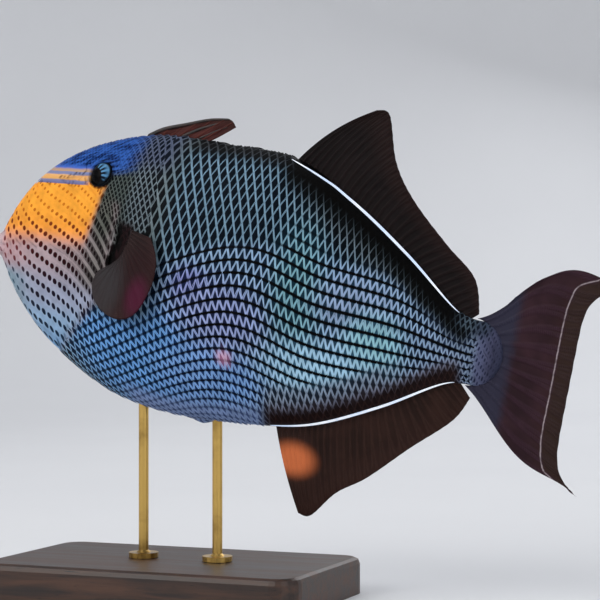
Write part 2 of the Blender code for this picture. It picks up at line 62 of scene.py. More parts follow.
CAMERA_TURN = math.radians(22.0)
CAMERA_AWAY = 0.9676
CAMERA_AIM = Vector((-0.0002, 0.0, 0.14735))
LENS = 119.34
PANELS = (
    ("key_panel", (-0.9, -1.5, 1.35), 1.5, 22.0, (1.0, 0.985, 0.96)),
    ("fill_panel", (1.5, -1.0, 0.75), 1.4, 8.0, (0.95, 0.98, 1.0)),
    ("back_panel", (0.2, 1.7, 1.3), 1.6, 12.0, (0.97, 0.98, 1.0)),
    ("top_panel", (0.0, 0.0, 1.9), 1.4, 9.0, (1.0, 1.0, 1.0)),
)

scene = bpy.context.scene
scene.view_settings.view_transform = "Standard"
scene.view_settings.look = "None"
look_along = Vector((-math.sin(CAMERA_TURN), math.cos(CAMERA_TURN), 0.0))
lens = bpy.data.cameras.new("camera")
lens.lens = LENS
lens.sensor_width = 36.0
lens.clip_start = 0.02
lens.clip_end = 20.0
lens.dof.use_dof = False
camera = bpy.data.objects.new("camera", lens)
camera.location = CAMERA_AIM - look_along * CAMERA_AWAY
camera.rotation_euler = look_along.to_track_quat("-Z", "Y").to_euler()
scene.collection.objects.link(camera)
scene.camera = camera

for panel_name, panel_place, panel_size, panel_power, panel_tint in PANELS:
    panel = bpy.data.lights.new(panel_name, "AREA")
    panel.shape = "SQUARE"
    panel.size = panel_size
    panel.energy = panel_power
    panel.color = panel_tint
    holder = bpy.data.objects.new(panel_name, panel)
    holder.location = panel_place
    aim = Vector((0.0, 0.0, 0.12)) - holder.location
    holder.rotation_euler = aim.to_track_quat("-Z", "Y").to_euler()
    scene.collection.objects.link(holder)

sky = bpy.data.worlds.new("studio_air")
sky.use_nodes = True
sky.node_tree.nodes["Background"].inputs["Color"].default_value = (0.90, 0.93, 1.0, 1.0)
sky.node_tree.nodes["Background"].inputs["Strength"].default_value = 0.30
scene.world = sky


def fill(tree, node, fills):
    """A node's inputs filled with values or joined to other outputs."""
    for name, value in fills.items():
        if isinstance(value, bpy.types.NodeSocket):
            tree.links.new(value, node.inputs[name])
        else:
            node.inputs[name].default_value = value


def add(tree, kind, fills=None, **settings):
    """A node with its settings made and its inputs filled."""
    made = tree.nodes.new(kind)
    for name, value in settings.items():
        setattr(made, name, value)
    fill(tree, made, fills or {})
    return made


def sums(tree, operation, first, second=0.0):
    """One step of arithmetic on one or two numbers."""
    return add(tree, "ShaderNodeMath", {0: first, 1: second}, operation=operation).outputs[0]


def times(tree, first, second):
    """The product of two numbers."""
    return sums(tree, "MULTIPLY", first, second)


def plus(tree, first, second):
    """The sum of two numbers."""
    return sums(tree, "ADD", first, second)


def minus(tree, first, second):
    """The first number less the second."""
    return sums(tree, "SUBTRACT", first, second)


def distance(tree, across, up):
    """How far a point lies from the middle."""
    return sums(tree, "SQRT", plus(tree, sums(tree, "POWER", across, 2.0), sums(tree, "POWER", up, 2.0)))


def split(tree, vector):
    """The three parts of a vector."""
    return add(tree, "ShaderNodeSeparateXYZ", {"Vector": vector}).outputs


def stored(tree, name, part="Vector"):
    """What a mesh keeps at each point under a name."""
    return add(tree, "ShaderNodeAttribute", attribute_name=name).outputs[part]


def noise(tree, scale, detail=3.0, at=None, **more):
    """A fine random cloud, on the piece's own axes unless told where."""
    if at is None:
        at = add(tree, "ShaderNodeTexCoord").outputs["Object"]
    fills = {"Vector": at, "Scale": scale, "Detail": detail, **more}
    return add(tree, "ShaderNodeTexNoise", fills).outputs["Fac"]


def relief(tree, height, strength, depth):
    """A fine relief, as the direction the surface faces."""
    fills = {"Strength": strength, "Distance": depth, "Height": height}
    return add(tree, "ShaderNodeBump", fills).outputs["Normal"]


def ramp(tree, value, low, high, start=0.0, end=1.0):
    """A number carried smoothly from one range to another."""
    fills = {"Value": value, "From Min": low, "From Max": high, "To Min": start, "To Max": end}
    kind = "SMOOTHSTEP"
    return add(tree, "ShaderNodeMapRange", fills, interpolation_type=kind).outputs["Result"]


def blend_colours(tree, share, first, second, kind="MIX"):
    """Two colours mixed by a share."""
    made = add(tree, "ShaderNodeMix", data_type="RGBA", blend_type=kind)
    for name, value in (("Factor_Float", share), ("A_Color", first), ("B_Color", second)):
        socket = next(s for s in made.inputs if s.identifier == name)
        if isinstance(value, bpy.types.NodeSocket):
            tree.links.new(value, socket)
        else:
            socket.default_value = value
    return next(s for s in made.outputs if s.identifier == "Result_Color")


def tint(code, strength=1.0):
    """A colour from six hexadecimal digits, as light."""
    shares = [int(code[i:i + 2], 16) / 255 for i in (0, 2, 4)]
    light = [s / 12.92 if s <= 0.04045 else ((s + 0.055) / 1.055) ** 2.4 for s in shares]
    return (*(strength * part for part in light), 1.0)


def new_material(name):
    """An empty procedural material, with its shader ready."""
    made = bpy.data.materials.new(name)
    made.use_nodes = True
    return made, made.node_tree, made.node_tree.nodes["Principled BSDF"]


FLOOR_FLAT = 1.5
FLOOR_RISE = 1.0
floor_material, tree, shader = new_material("studio_floor")
floor_colour = blend_colours(tree, noise(tree, 3.0), tint("DCDDE0"), tint("E4E5E7"))
fill(tree, shader, {"Base Color": floor_colour, "Roughness": 0.8, "Specular IOR Level": 0.2})
profile = [(FLOOR_FLAT * k / 4, 0.0) for k in range(1, 5)]
profile += [(FLOOR_FLAT + FLOOR_RISE * math.sin(a), FLOOR_RISE * (1 - math.cos(a)))
            for a in (math.pi / 2 * k / 12 for k in range(1, 13))]
profile.append((FLOOR_FLAT + FLOOR_RISE, 2.6))
dish = bmesh.new()
hub = dish.verts.new((0.0, 0.0, 0.0))
last = None
for radius, height in profile:
    ring = [dish.verts.new((radius * math.cos(math.tau * i / 72),
                            radius * math.sin(math.tau * i / 72), height)) for i in range(72)]
    for i in range(72):
        j = (i + 1) % 72
        dish.faces.new((hub, ring[i], ring[j]) if last is None
                       else (last[i], ring[i], ring[j], last[j]))
    last = ring
for face in dish.faces:
    face.smooth = True
dish_mesh = bpy.data.meshes.new("studio_floor")
dish.to_mesh(dish_mesh)
dish.free()
dish_mesh.materials.append(floor_material)
floor = bpy.data.objects.new("studio_floor", dish_mesh)
scene.collection.objects.link(floor)
floor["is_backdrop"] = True


# Skin
# One cast skin from the lips to the end of the tail stem, painted by hand with an air brush.
# It is drawn as rings through named stations of the body; the lips, the orbit and the nostril
# rims are raised from it, and the mouth line, sockets, groove and gill slits are sunk into it.

LENGTH = 0.275
NOSE_UP = math.radians(11.3)
HEIGHT = 0.150
TURNING_SHARE = 0.50
SHIFT = -0.03177
PLATE_ROOM = 0.0003
STATIONS = np.array((
    (0.004, 0.020, -0.016, 0.016), (0.022, 0.068, -0.044, 0.031), (0.060, 0.131, -0.092, 0.048),
    (0.120, 0.186, -0.145, 0.066), (0.200, 0.228, -0.192, 0.081), (0.300, 0.256, -0.228, 0.092),
    (0.420, 0.261, -0.238, 0.094), (0.560, 0.259, -0.225, 0.084), (0.680, 0.206, -0.201, 0.066),
    (0.800, 0.132, -0.143, 0.046), (0.905, 0.056, -0.079, 0.028), (0.960, 0.044, -0.069, 0.018),
    (1.000, 0.046, -0.071, 0.007)))
STEM_START = 0.905
STEM_EDGE = 0.945
STEM_BOW = 0.045
STEM_MIDDLE = -0.012
STEM_HALF_HEIGHT = 0.058
HEAD_RING_STEP = 0.0019
BODY_RING_STEP = 0.0046
TURNS = 280
EYE_PLACE = (0.214, 0.166)
EYE_RADIUS = 0.0069
EYE_DEPTH_RADIUS = 0.0052
EYE_SINK = 0.0025
ORBIT_RADIUS = 0.0068
ORBIT_ROLL = 0.0009
NOSTRILS = ((0.1795, 0.1800), (0.1885, 0.1865))
EYE_GROOVE = ((0.187, 0.158), (0.158, 0.150), (0.128, 0.139))
GILL_SLIT = ((0.2810, 0.072), (0.2795, 0.055), (0.2760, 0.037), (0.2710, 0.021))
LIP_CORNER = (0.0086, 0.0082)
LIP_FRONT = 0.0026
LIPS = ((0.0036, 0.0030), (-0.0034, 0.0028))
KNOB_PLACE = 0.468


def smooth_rows(rows, t):
    """Points on a smooth curve through rows of numbers, one row to each whole t."""
    rows = np.asarray(rows, float)
    t = np.asarray(t, float)
    i = np.clip(t.astype(int), 0, len(rows) - 2)
    f = (t - i)[..., None]
    before, first = rows[np.maximum(i - 1, 0)], rows[i]
    second, after = rows[i + 1], rows[np.minimum(i + 2, len(rows) - 1)]
    cubic = 3 * first - before - 3 * second + after
    square = 2 * before - 5 * first + 4 * second - after
    return 0.5 * (2 * first + (second - before) * f + square * f * f + cubic * f ** 3)


fine_stations = smooth_rows(STATIONS, np.linspace(0, len(STATIONS) - 1, 6001))


def section(place):
    """Back, belly and half width at a place along the body, in shares of its length."""
    return [np.interp(place, fine_stations[:, 0], fine_stations[:, c]) for c in (1, 2, 3)]


def roundness(place, above):
    """Exponent of the section: 2 is an ellipse, less is leaner."""
    lean = np.clip((np.asarray(place) - 0.45) / 0.25, 0, 1)
    return np.where(above, 2.0 - 0.25 * lean, 1.85)


def flank_width(place, level):
    """Half width of the body at a place and level."""
    back, belly, wide = section(place)
    middle = (back + belly) / 2
    lift = np.clip(np.abs(level - middle) / (back - middle), 0, 1)
    power = roundness(place, level >= middle)
    return wide * (1 - lift ** power) ** (1 / power)


def stem_end(rise):
    """How far back the stem's end stands, where rise runs from belly to back."""
    return STEM_EDGE + STEM_BOW * np.sqrt(np.clip(1 - np.asarray(rise) ** 2, 0, 1))


def to_world(points):
    """From the fish's own axes, in metres from its snout, to where the model stands."""
    points = np.asarray(points, float)
    x = points[..., 0] - TURNING_SHARE * LENGTH
    c, s = math.cos(NOSE_UP), math.sin(NOSE_UP)
    return np.stack((x * c + points[..., 2] * s + SHIFT, points[..., 1],
                     points[..., 2] * c - x * s + HEIGHT), -1)


def to_fish(points):
    """From where the model stands to the fish's own axes, in shares of its length."""
    points = np.asarray(points, float)
    x, z = points[..., 0] - SHIFT, points[..., 2] - HEIGHT
    c, s = math.cos(NOSE_UP), math.sin(NOSE_UP)
    return np.stack((x * c - z * s + TURNING_SHARE * LENGTH, points[..., 1],
                     x * s + z * c), -1) / LENGTH


def flank(place, level, side):
    """Points on the flank, in metres: side -1 is the left."""
    place, level = np.broadcast_arrays(np.asarray(place, float), np.asarray(level, float))
    return np.stack((place, side * flank_width(place, level), level), -1) * LENGTH


def flank_normal(place, level, side):
    """The outward direction of the flank."""
    step = 0.004
    fore = flank(place + step, level, side) - flank(place - step, level, side)
    lift = flank(place, level + step, side) - flank(place, level - step, side)
    out = np.cross(fore, lift)
    out /= np.linalg.norm(out, axis=-1, keepdims=True)
    return out * np.sign(out[..., 1:2] * side)


def tube_gap(points, line, radii):
    """Distance from points to a tapered tube along a line, below 0 inside it."""
    nearest = np.full(points.shape[:-1], 1.0)
    for a, b, ra, rb in zip(line, line[1:], radii, radii[1:]):
        run = b - a
        share = np.clip((points - a) @ run / (run @ run), 0, 1)
        off = np.linalg.norm(points - a - share[..., None] * run, axis=-1)
        nearest = np.minimum(nearest, off - ra - (rb - ra) * share)
    return nearest


def oval_gap(points, centre, out, across, deep):
    """Distance to a flattened ball whose short axis runs along a direction."""
    away = points - centre
    depth = away @ out
    side_ways = np.linalg.norm(away - depth[..., None] * out, axis=-1)
    return (np.sqrt((side_ways / across) ** 2 + (depth / deep) ** 2) - 1) * min(across, deep)


def fused(a, b, ease):
    """Two distances joined, with a rounded valley between."""
    share = np.clip(0.5 + 0.5 * (b - a) / ease, 0, 1)
    return b + (a - b) * share - ease * share * (1 - share)


# rings, closest over the head, and turns, closest at the level of the eyes
ring_places = [0.004]
while ring_places[-1] < STEM_START - 0.002:
    here = ring_places[-1]
    step = HEAD_RING_STEP if here < 0.245 else min(BODY_RING_STEP, HEAD_RING_STEP + (here - 0.245) * 0.04)
    ring_places.append(here + step * (0.55 if here < 0.03 else 1.0))
ring_places = np.array(ring_places) * (STEM_START - 0.004) / (ring_places[-1] - 0.004)
ring_places += STEM_START - ring_places[-1]
crowd = np.linspace(0, math.pi, 2001)
density = 1 + 1.9 * np.exp(-((crowd - math.radians(46)) / math.radians(13)) ** 2)
density += 0.7 * np.exp(-((crowd - math.radians(100)) / math.radians(14)) ** 2)
spread = np.concatenate(((0,), np.cumsum((density[1:] + density[:-1]) / 2)))
half_turns = np.interp(np.linspace(0, spread[-1], TURNS // 2 + 1), spread, crowd)
turns = np.concatenate((half_turns, 2 * math.pi - half_turns[-2:0:-1]))
rise, sway = np.cos(turns), np.sin(turns)


def ring(place):
    """One ring of points at each of the given places, in shares."""
    place = np.asarray(place, float) + np.zeros(TURNS)
    back, belly, wide = section(place)
    middle = (back + belly) / 2
    power = 2 / roundness(place, rise >= 0)
    across = wide * np.sign(sway) * np.abs(sway) ** power
    up = (back - middle) * np.sign(rise) * np.abs(rise) ** power
    return np.stack((place, across, middle + up), -1)


rows = []
for k in range(1, 9):
    share = k / 9
    nose = ring(0.004)
    nose[:, 0] = 0.004 * share ** 2
    nose[:, 1:] *= share
    rows.append(nose)
rows += [ring(place) for place in ring_places]
stem_share = np.linspace(0, 1, 22)[1:]
for share in stem_share:
    rows.append(ring(STEM_START + (stem_end(rise) - STEM_START) * share))
for k in range(1, 5):
    end = ring(stem_end(rise))
    angle = k / 4 * math.pi / 2
    end[:, 0] += 0.010 * math.sin(angle)
    end[:, 1] *= math.cos(angle) if k < 4 else 0.0
    rows.append(end)
grid = np.array(rows) * LENGTH
along_body = np.gradient(grid, axis=0)
wrapped = np.concatenate((grid[:, -1:], grid, grid[:, :1]), axis=1)
round_body = (wrapped[:, 2:] - wrapped[:, :-2]) / 2
outward = np.cross(round_body, along_body)
outward /= np.linalg.norm(outward, axis=-1, keepdims=True) + 1e-12
outward[-1] = outward[-2]
probe = grid[60, 10]
if outward[60, 10] @ (probe - grid[60].mean(axis=0)) < 0:
    outward = -outward

# what is raised from the skin, and what is sunk into it
raised, sunk = [], []
lip_steps = np.linspace(-1, 1, 21)
for level, radius in LIPS:
    x = LIP_FRONT + (LIP_CORNER[0] - LIP_FRONT) * np.abs(lip_steps) ** 2.4
    y = LIP_CORNER[1] * np.sin(lip_steps * math.pi / 2)
    line = np.stack((x, y, level * (1 - 0.75 * lip_steps ** 2)), -1)
    raised.append((line, radius + (0.0011 - radius) * lip_steps ** 2, 0.0012))
line = line.copy()
line[:, 0] = LIP_FRONT - 0.0024 + (LIP_CORNER[0] - LIP_FRONT + 0.0020) * np.abs(lip_steps) ** 2.4
line[:, 1] *= 1.10
line[:, 2] = 0.0001
sunk.append((line, np.full(21, 0.00045), 0.0003))
for side in (-1, 1):
    out = flank_normal(*EYE_PLACE, side)
    centre = flank(*EYE_PLACE, side)
    first_axis = np.cross((0.0, 0.0, 1.0), out)
    first_axis /= np.linalg.norm(first_axis)
    second_axis = np.cross(out, first_axis)
    angles = np.linspace(0, math.tau, 33)
    spokes = np.cos(angles)[:, None] * first_axis + np.sin(angles)[:, None] * second_axis
    rim = (centre + spokes * ORBIT_RADIUS) / LENGTH
    raised.append((flank(rim[:, 0], rim[:, 2], side), np.full(33, ORBIT_ROLL), 0.0010))
    for spot in NOSTRILS:
        around = flank_normal(*spot, side)
        hole = flank(*spot, side)
        loop = (hole + spokes * 0.0009) / LENGTH
        raised.append((flank(loop[:, 0], loop[:, 2], side), np.full(33, 0.0004), 0.0004))
        sunk.append((np.array((hole + around * 0.001, hole - around * 0.0015)),
                     (0.0006, 0.0005), 0.0003))
    groove = smooth_rows(EYE_GROOVE, np.linspace(0, 2, 13))
    swell = np.sin(np.linspace(0, math.pi, 13))
    sunk.append((flank(groove[:, 0], groove[:, 1], side), 0.0003 + 0.0006 * swell, 0.0009))
    slit = smooth_rows(GILL_SLIT, np.linspace(0, 3, 13))
    sunk.append((flank(slit[:, 0], slit[:, 1], side), 0.0004 + 0.0010 * swell, 0.0007))

reach = np.linspace(0.0050, -0.0042, 47)
flat = grid.reshape(-1, 3)
flat_out = outward.reshape(-1, 3)
lift = np.zeros(len(flat))
near = np.nonzero(flat[:, 0] < 0.32 * LENGTH)[0]
close = np.full(len(near), 1.0)
for line, radii, _ in raised + sunk:
    close = np.minimum(close, tube_gap(flat[near], line, radii))
for side in (-1, 1):
    eye_out = flank_normal(*EYE_PLACE, side)
    eye_centre = flank(*EYE_PLACE, side) - eye_out * EYE_SINK
    close = np.minimum(close, oval_gap(flat[near], eye_centre, eye_out, EYE_RADIUS, EYE_DEPTH_RADIUS))
near = near[close < 0.0045]
cloud = flat[near][:, None, :] + flat_out[near][:, None, :] * reach[None, :, None]
field = np.broadcast_to(reach, cloud.shape[:2]).copy()
for line, radii, ease in raised:
    field = fused(field, tube_gap(cloud, line, radii), ease)
for line, radii, ease in sunk:
    field = -fused(-field, tube_gap(cloud, line, radii), ease)
for side in (-1, 1):
    eye_out = flank_normal(*EYE_PLACE, side)
    eye_centre = flank(*EYE_PLACE, side) - eye_out * EYE_SINK
    socket = oval_gap(cloud, eye_centre, eye_out, EYE_RADIUS + 0.0001, EYE_DEPTH_RADIUS + 0.0001)
    field = -fused(-field, socket, 0.0005)
inside = field < 0
inside[:, -1] = True
first = np.argmax(inside, axis=1)
pick = np.arange(len(near))
outer, inner = np.maximum(first - 1, 0), first
f_out, f_in = field[pick, outer], np.minimum(field[pick, inner], -1e-9)
share = np.clip(f_out / (f_out - f_in), 0, 1)
lift[near] = reach[outer] + (reach[inner] - reach[outer]) * share
body_places = flat / LENGTH
sink_in = PLATE_ROOM * np.clip((body_places[:, 0] - 0.02) / 0.04, 0, 1)
lift -= sink_in
knob = np.linalg.norm((body_places - (KNOB_PLACE + 0.004, 0.0, float(section(KNOB_PLACE)[1])))
                      / (0.024, 0.010, 0.012), axis=1)
lift += 0.0022 * np.clip(1 - knob, 0, 1) ** 0.7
skin_points = to_world(flat + flat_out * lift[:, None])

ring_count = len(rows)
index = np.arange(ring_count * TURNS).reshape(ring_count, TURNS)
a, b = index[:-1], np.roll(index, -1, axis=1)[:-1]
c, d = np.roll(index, -1, axis=1)[1:], index[1:]
quads = np.stack((a, b, c, d), -1).reshape(-1, 4)
snout = len(skin_points)
snout_point = to_world(np.array(((0.0004, 0.0, 0.0),)))
skin_verts = np.concatenate((skin_points, snout_point))
faces = [tuple(q) for q in quads.tolist()]
faces += [(snout, int(index[0, (i + 1) % TURNS]), int(index[0, i])) for i in range(TURNS)]
skin_mesh = bpy.data.meshes.new("skin")
skin_mesh.from_pydata(skin_verts.tolist(), [], faces)


def face_out(mesh, merge=0.0, smooth=True):
    """Merges doubled points and turns every face outwards."""
    shaping = bmesh.new()
    shaping.from_mesh(mesh)
    if merge:
        bmesh.ops.remove_doubles(shaping, verts=shaping.verts, dist=merge)
    bmesh.ops.recalc_face_normals(shaping, faces=shaping.faces)
    if smooth:
        for face in shaping.faces:
            face.smooth = True
    shaping.to_mesh(mesh)
    shaping.free()


def store(mesh, name, values):
    """Keeps a number or a vector for each point of a mesh under a name."""
    values = np.asarray(values, np.float32)
    kind, field = ("FLOAT", "value") if values.ndim == 1 else ("FLOAT_VECTOR", "vector")
    layer = mesh.attributes.get(name) or mesh.attributes.new(name, kind, "POINT")
    layer.data.foreach_set(field, values.ravel())


def places_of(mesh):
    """Where a mesh's points are on the fish, in shares of its length."""
    spots = np.empty(len(mesh.vertices) * 3)
    mesh.vertices.foreach_get("co", spots)
    return to_fish(spots.reshape(-1, 3))


def set_out(name, mesh, slot, *replaced):
    """Sets a finished piece in the scene, riding on the one body."""
    piece = bpy.data.objects.new(name, mesh)
    scene.collection.objects.link(piece)
    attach(piece, "root")
    if replaced:
        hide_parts(*replaced)
    return piece


face_out(skin_mesh, 2e-6)

# the lie of the scales: rows run from the snout to the tail, and columns cross them
# At seven even stations: the row at mid flank, the rows from belly to back, and how many columns
# the belly lags behind mid flank.
NET_STATIONS = np.array((
    (-14.0, 8.0, 1.0), (-6.0, 19.0, 7.0), (-0.5, 24.0, 8.7), (3.0, 26.0, 7.0),
    (2.5, 21.0, 2.2), (2.5, 13.0, 0.8), (1.5, 9.0, 0.0)))
NET_COLUMNS = ((0.00, 0.0190), (0.25, 0.0178), (0.45, 0.0150), (0.65, 0.0138), (0.80, 0.0120),
               (0.90, 0.0101), (1.00, 0.0080))
EVEN_ROWS = 0.82
CROWDED_ROWS = 0.72
LAG_POWER = 1.5
CHEEK_COLUMNS = ((0.00, 0.0135), (0.14, 0.0137), (0.19, 0.0112), (0.24, 0.0079), (0.28, 0.0070))
CHEEK_ROW_PITCH = 0.0228
CHEEK_ROW_FALL = 0.33
CHEEK_ROW_SWEEP = 20.0
CHEEK_LEAN = 15.0
CHEEK_BOW = 130.0


def column_count(place, pitches):
    """How many columns lie ahead of a place, from their pitch at named places."""
    at = np.linspace(0.0, 1.02, 1021)
    pitch = np.interp(at, *np.array(pitches).T)
    steps = 0.001 * 2 / (pitch[1:] + pitch[:-1])
    return np.interp(place, at, np.concatenate(((0.0,), np.cumsum(steps))))


EDGE_TURN = math.radians(27.0)


def ring_turn(place, across, level):
    """How far round its section a point lies: 0 at the back and pi at the belly."""
    back, belly, wide = section(place)
    middle = (back + belly) / 2
    above = level >= middle
    power = roundness(place, above) / 2
    out = np.clip(np.abs(across) / wide, 0, 1.3) ** power
    up = np.clip(np.abs(level - middle) / (back - middle), 0, 1.3) ** power
    return np.arctan2(out, np.where(above, up, -up))


def ring_rise(place, turn):
    """Height at a turn, from -1 at the belly to 1 at the back."""
    lean = np.cos(turn)
    return np.sign(lean) * np.abs(lean) ** (2 / roundness(place, lean >= 0))


def height_share(place, turn):
    """Share of the height at a turn, carried on at an even pace over both edges."""
    inner = np.clip(turn, EDGE_TURN, math.pi - EDGE_TURN)
    pace = (ring_rise(place, inner - 0.01) - ring_rise(place, inner + 0.01)) / 0.02
    return 0.5 + 0.5 * (ring_rise(place, inner) + pace * (inner - turn))


def net_numbers(place, height):
    """The numbers of the two families of lines that part the scales."""
    station = np.clip(place, 0, 1) * (len(NET_STATIONS) - 1)
    mid_row, high, lag = smooth_rows(NET_STATIONS, station).T
    inner = np.clip(height, 0, 1)
    beyond = inner - height
    down = 0.5 - inner
    row = mid_row + high * (EVEN_ROWS * down + CROWDED_ROWS * down ** 3
                            + (EVEN_ROWS + 0.75 * CROWDED_ROWS) * beyond)
    lower = 2 * np.maximum(down, 0)
    lagging = lag * (lower ** LAG_POWER + 2 * LAG_POWER * np.maximum(beyond, 0))
    column = column_count(place, NET_COLUMNS) - lagging
    return column - row / 2, column + row / 2


def cheek_numbers(place, height):
    """Line numbers of the cheek's squarish scales, in rows that sweep down from the snout."""
    back, belly, _ = section(place)
    level = belly + height * (back - belly)
    run = place - 0.14
    row = (level + CHEEK_ROW_FALL * run + CHEEK_ROW_SWEEP * run ** 3) / CHEEK_ROW_PITCH
    column = column_count(place, CHEEK_COLUMNS) - CHEEK_LEAN * level - CHEEK_BOW * level ** 2
    return row, column


def soft_step(value, low, high):
    """0 up to low, 1 from high, and an even curve between; high may be the smaller."""
    share = np.clip((value - low) / (high - low), 0, 1)
    return share * share * (3 - 2 * share)


def oval(place, level, centre, size, turn=0.0, edge=0.5):
    """How far a soft oval of paint covers each point."""
    c, s = math.cos(math.radians(turn)), math.sin(math.radians(turn))
    run, up = place - centre[0], level - centre[1]
    away = np.hypot((run * c + up * s) / size[0], (up * c - run * s) / size[1])
    return soft_step(away, 1 + edge, 1 - edge)


def over_orange(place, level):
    """Height above the straight upper edge of the orange patch."""
    return level - 0.1262 - 0.11 * (place - 0.06)


# Paint of each region: cover, colour of the net, colour of the cells, and the shares of a cell
# that the lines of either family leave dark, with the strength of the row line and the
# roundness of the dark spot.
def regions(place, level):
    """Each region's cover and its paint, in the order they are laid on."""
    back, belly, _ = section(place)
    below_back, above_belly = back - level, level - belly
    row_top = np.interp(place, (0.34, 0.358, 0.403, 0.44, 0.482, 0.554, 0.609, 0.65, 0.70, 0.75, 0.79,
                                0.822, 0.854, 0.90),
                        (0.010, 0.027, 0.050, 0.071, 0.085, 0.098, 0.107, 0.102, 0.094, 0.092, 0.083,
                         0.065, 0.044, 0.036))
    ray_band = soft_step(place, 0.545, 0.575) * soft_step(place, 0.955, 0.925)
    anal_band = soft_step(place, 0.585, 0.615) * soft_step(place, 0.945, 0.92)
    yield (1.0 + 0 * place, "81A2BA", "010A14", 0.80, 0.85, 0.0, 0.0)
    yield (soft_step(below_back, 0.11, 0.05) * soft_step(place, 0.55, 0.66),
           "74838E", "03070B", 0.84, 0.87, 0.0, 0.0)
    rows_here = soft_step(level, row_top + 0.006, row_top - 0.006) * soft_step(place, 0.34, 0.36)
    yield (rows_here, "95B2D3", "0C1A2A", 0.77, 0.80, 1.0, 0.0)
    yield (oval(place, level, (0.37, -0.14), (0.17, 0.10), -18, 0.4),
           "70A4DF", "0C2C50", 0.67, 0.73, 0.75, 0.0)
    yield (oval(place, level, (0.50, -0.15), (0.10, 0.06), 0, 0.5),
           "7AA1D6", "183058", 0.63, 0.69, 0.9, 0.0)
    yield (oval(place, level, (0.44, 0.005), (0.035, 0.030), -10, 0.6),
           "7A7ABD", "141A3C", 0.72, 0.76, 0.8, 0.0)
    yield (oval(place, level, (0.50, -0.035), (0.090, 0.060), -10, 0.6),
           "9AA6D4", "141C36", 0.72, 0.76, 1.0, 0.0)
    yield (oval(place, level, (0.635, 0.03), (0.045, 0.11), 8, 0.6),
           "83B2C0", "0E2834", 0.75, 0.79, 1.1, 0.0)
    yield (oval(place, level, (0.74, 0.03), (0.07, 0.05), 0, 0.6),
           "91A6C6", "1C3042", 0.67, 0.71, 1.15, 0.0)
    yield (oval(place, level, (0.78, -0.035), (0.05, 0.05), 0, 0.6),
           "93C2CE", "264A5C", 0.64, 0.68, 1.15, 0.0)
    yield (oval(place, level, (0.70, -0.10), (0.10, 0.05), 0, 0.6),
           "A6CDE5", "34566C", 0.61, 0.65, 1.15, 0.0)
    yield (soft_step(place, 0.82, 0.93) * soft_step(level, 0.05, 0.02),
           "8598B2", "202E46", 0.66, 0.70, 1.6, 0.0)
    yield (soft_step(above_belly, 0.052, 0.018) * soft_step(place, 0.30, 0.36)
           * soft_step(place, 0.64, 0.58), "8095C0", "42547E", 0.58, 0.60, 0.3, 0.2)
    yield (oval(place, level, (0.522, -0.108), (0.014, 0.012), 0, 0.5),
           "CBA4C0", "94607E", 0.6, 0.6, 0.3, 0.0)
    yield (anal_band * soft_step(above_belly, 0.086, 0.062) * soft_step(place, 0.86, 0.79),
           "8595AA", "161E2A", 0.72, 0.75, 0.15, 0.0)
    yield (soft_step(place, 0.29, 0.34) * soft_step(place, 0.62, 0.56)
           * soft_step(below_back, 0.036, 0.012), "3C3F44", "040608", 0.82, 0.85, 0.0, 0.0)
    yield (ray_band * soft_step(below_back, 0.064, 0.032), "31383D", "030506", 0.84, 0.87, 0.0, 0.0)
    yield (anal_band * soft_step(above_belly, 0.056, 0.030), "6C6C7E", "2A2428", 0.72, 0.74, 0.3, 0.0)
    yield (soft_step(place, 0.40, 0.34) * soft_step(level, -0.10, -0.05), "697779", "060A0C",
           0.74, 0.78, 0.0, 0.0)
    yield (oval(place, level, (0.262, 0.125), (0.052, 0.095), 8, 0.40),
           "4D5653", "04080A", 0.68, 0.74, 0.0, 0.0)
    yield (oval(place, level, (0.318, 0.150), (0.030, 0.100), 0, 0.5),
           "7A8890", "02060C", 0.78, 0.81, 0.0, 0.0)
    yield (soft_step(place, 0.24, 0.29) * soft_step(place, 0.38, 0.33)
           * soft_step(below_back, 0.085, 0.045), "596279", "050C1A", 0.74, 0.70, 0.0, 0.0)
    yield (soft_step(place, 0.09, 0.12) * soft_step(place, 0.295, 0.245)
           * soft_step(below_back, 0.080, 0.055), "376BCA", "081A54", 0.66, 0.56, 0.0, 0.0)
    cheek = soft_step(place, 0.285, 0.262) * soft_step(level, 0.13, 0.10)
    cheek = cheek * soft_step(place, 0.285 + 0.75 * np.minimum(level + 0.04, 0),
                              0.258 + 0.75 * np.minimum(level + 0.04, 0))
    yield (cheek, "AD999E", "300A0E", 0.70, 0.70, 0.0, 1.0)
    yield (cheek * soft_step(place, 0.12, 0.20) * soft_step(level, 0.080, 0.040),
           "A09093", "220A0E", 0.80, 0.82, 0.0, 0.7)
    yield (cheek * soft_step(level, 0.0, -0.07), "99A0B6", "161020", 0.70, 0.70, 0.0, 1.0)
    yield (cheek * soft_step(level, -0.07, -0.12), "8CA9C7", "0E2034", 0.70, 0.70, 0.0, 1.0)
    yield (cheek * soft_step(level, -0.12, -0.17), "7099C3", "163650", 0.70, 0.70, 0.0, 1.0)
    yield (cheek * soft_step(place, 0.12, 0.04) * soft_step(level, -0.01, -0.06),
           "7D95A2", "2E4E62", 0.44, 0.44, 0.0, 1.0)
    yield (cheek * soft_step(place, 0.196 + 0.1 * level, 0.246 + 0.1 * level)
           * soft_step(level, -0.06, -0.02), "817B79", "140C0E", 0.58, 1.02, 0.0, 0.15)
    yield (cheek * soft_step(place, 0.12, 0.04) * soft_step(level, 0.06, 0.03)
           * soft_step(level, -0.05, -0.01), "B69599", "6E3034", 0.58, 0.58, 0.0, 1.0)
    glow = (soft_step(place, 0.232 + 0.1 * (level - 0.1), 0.212 + 0.1 * (level - 0.1))
            * soft_step(over_orange(place, level), 0.007, 0.006))
    yield (oval(place, level, (0.240, 0.098), (0.024, 0.048), 10, 0.45) * 0.85,
           "545850", "080A08", 0.64, 0.80, 0.0, 0.0)
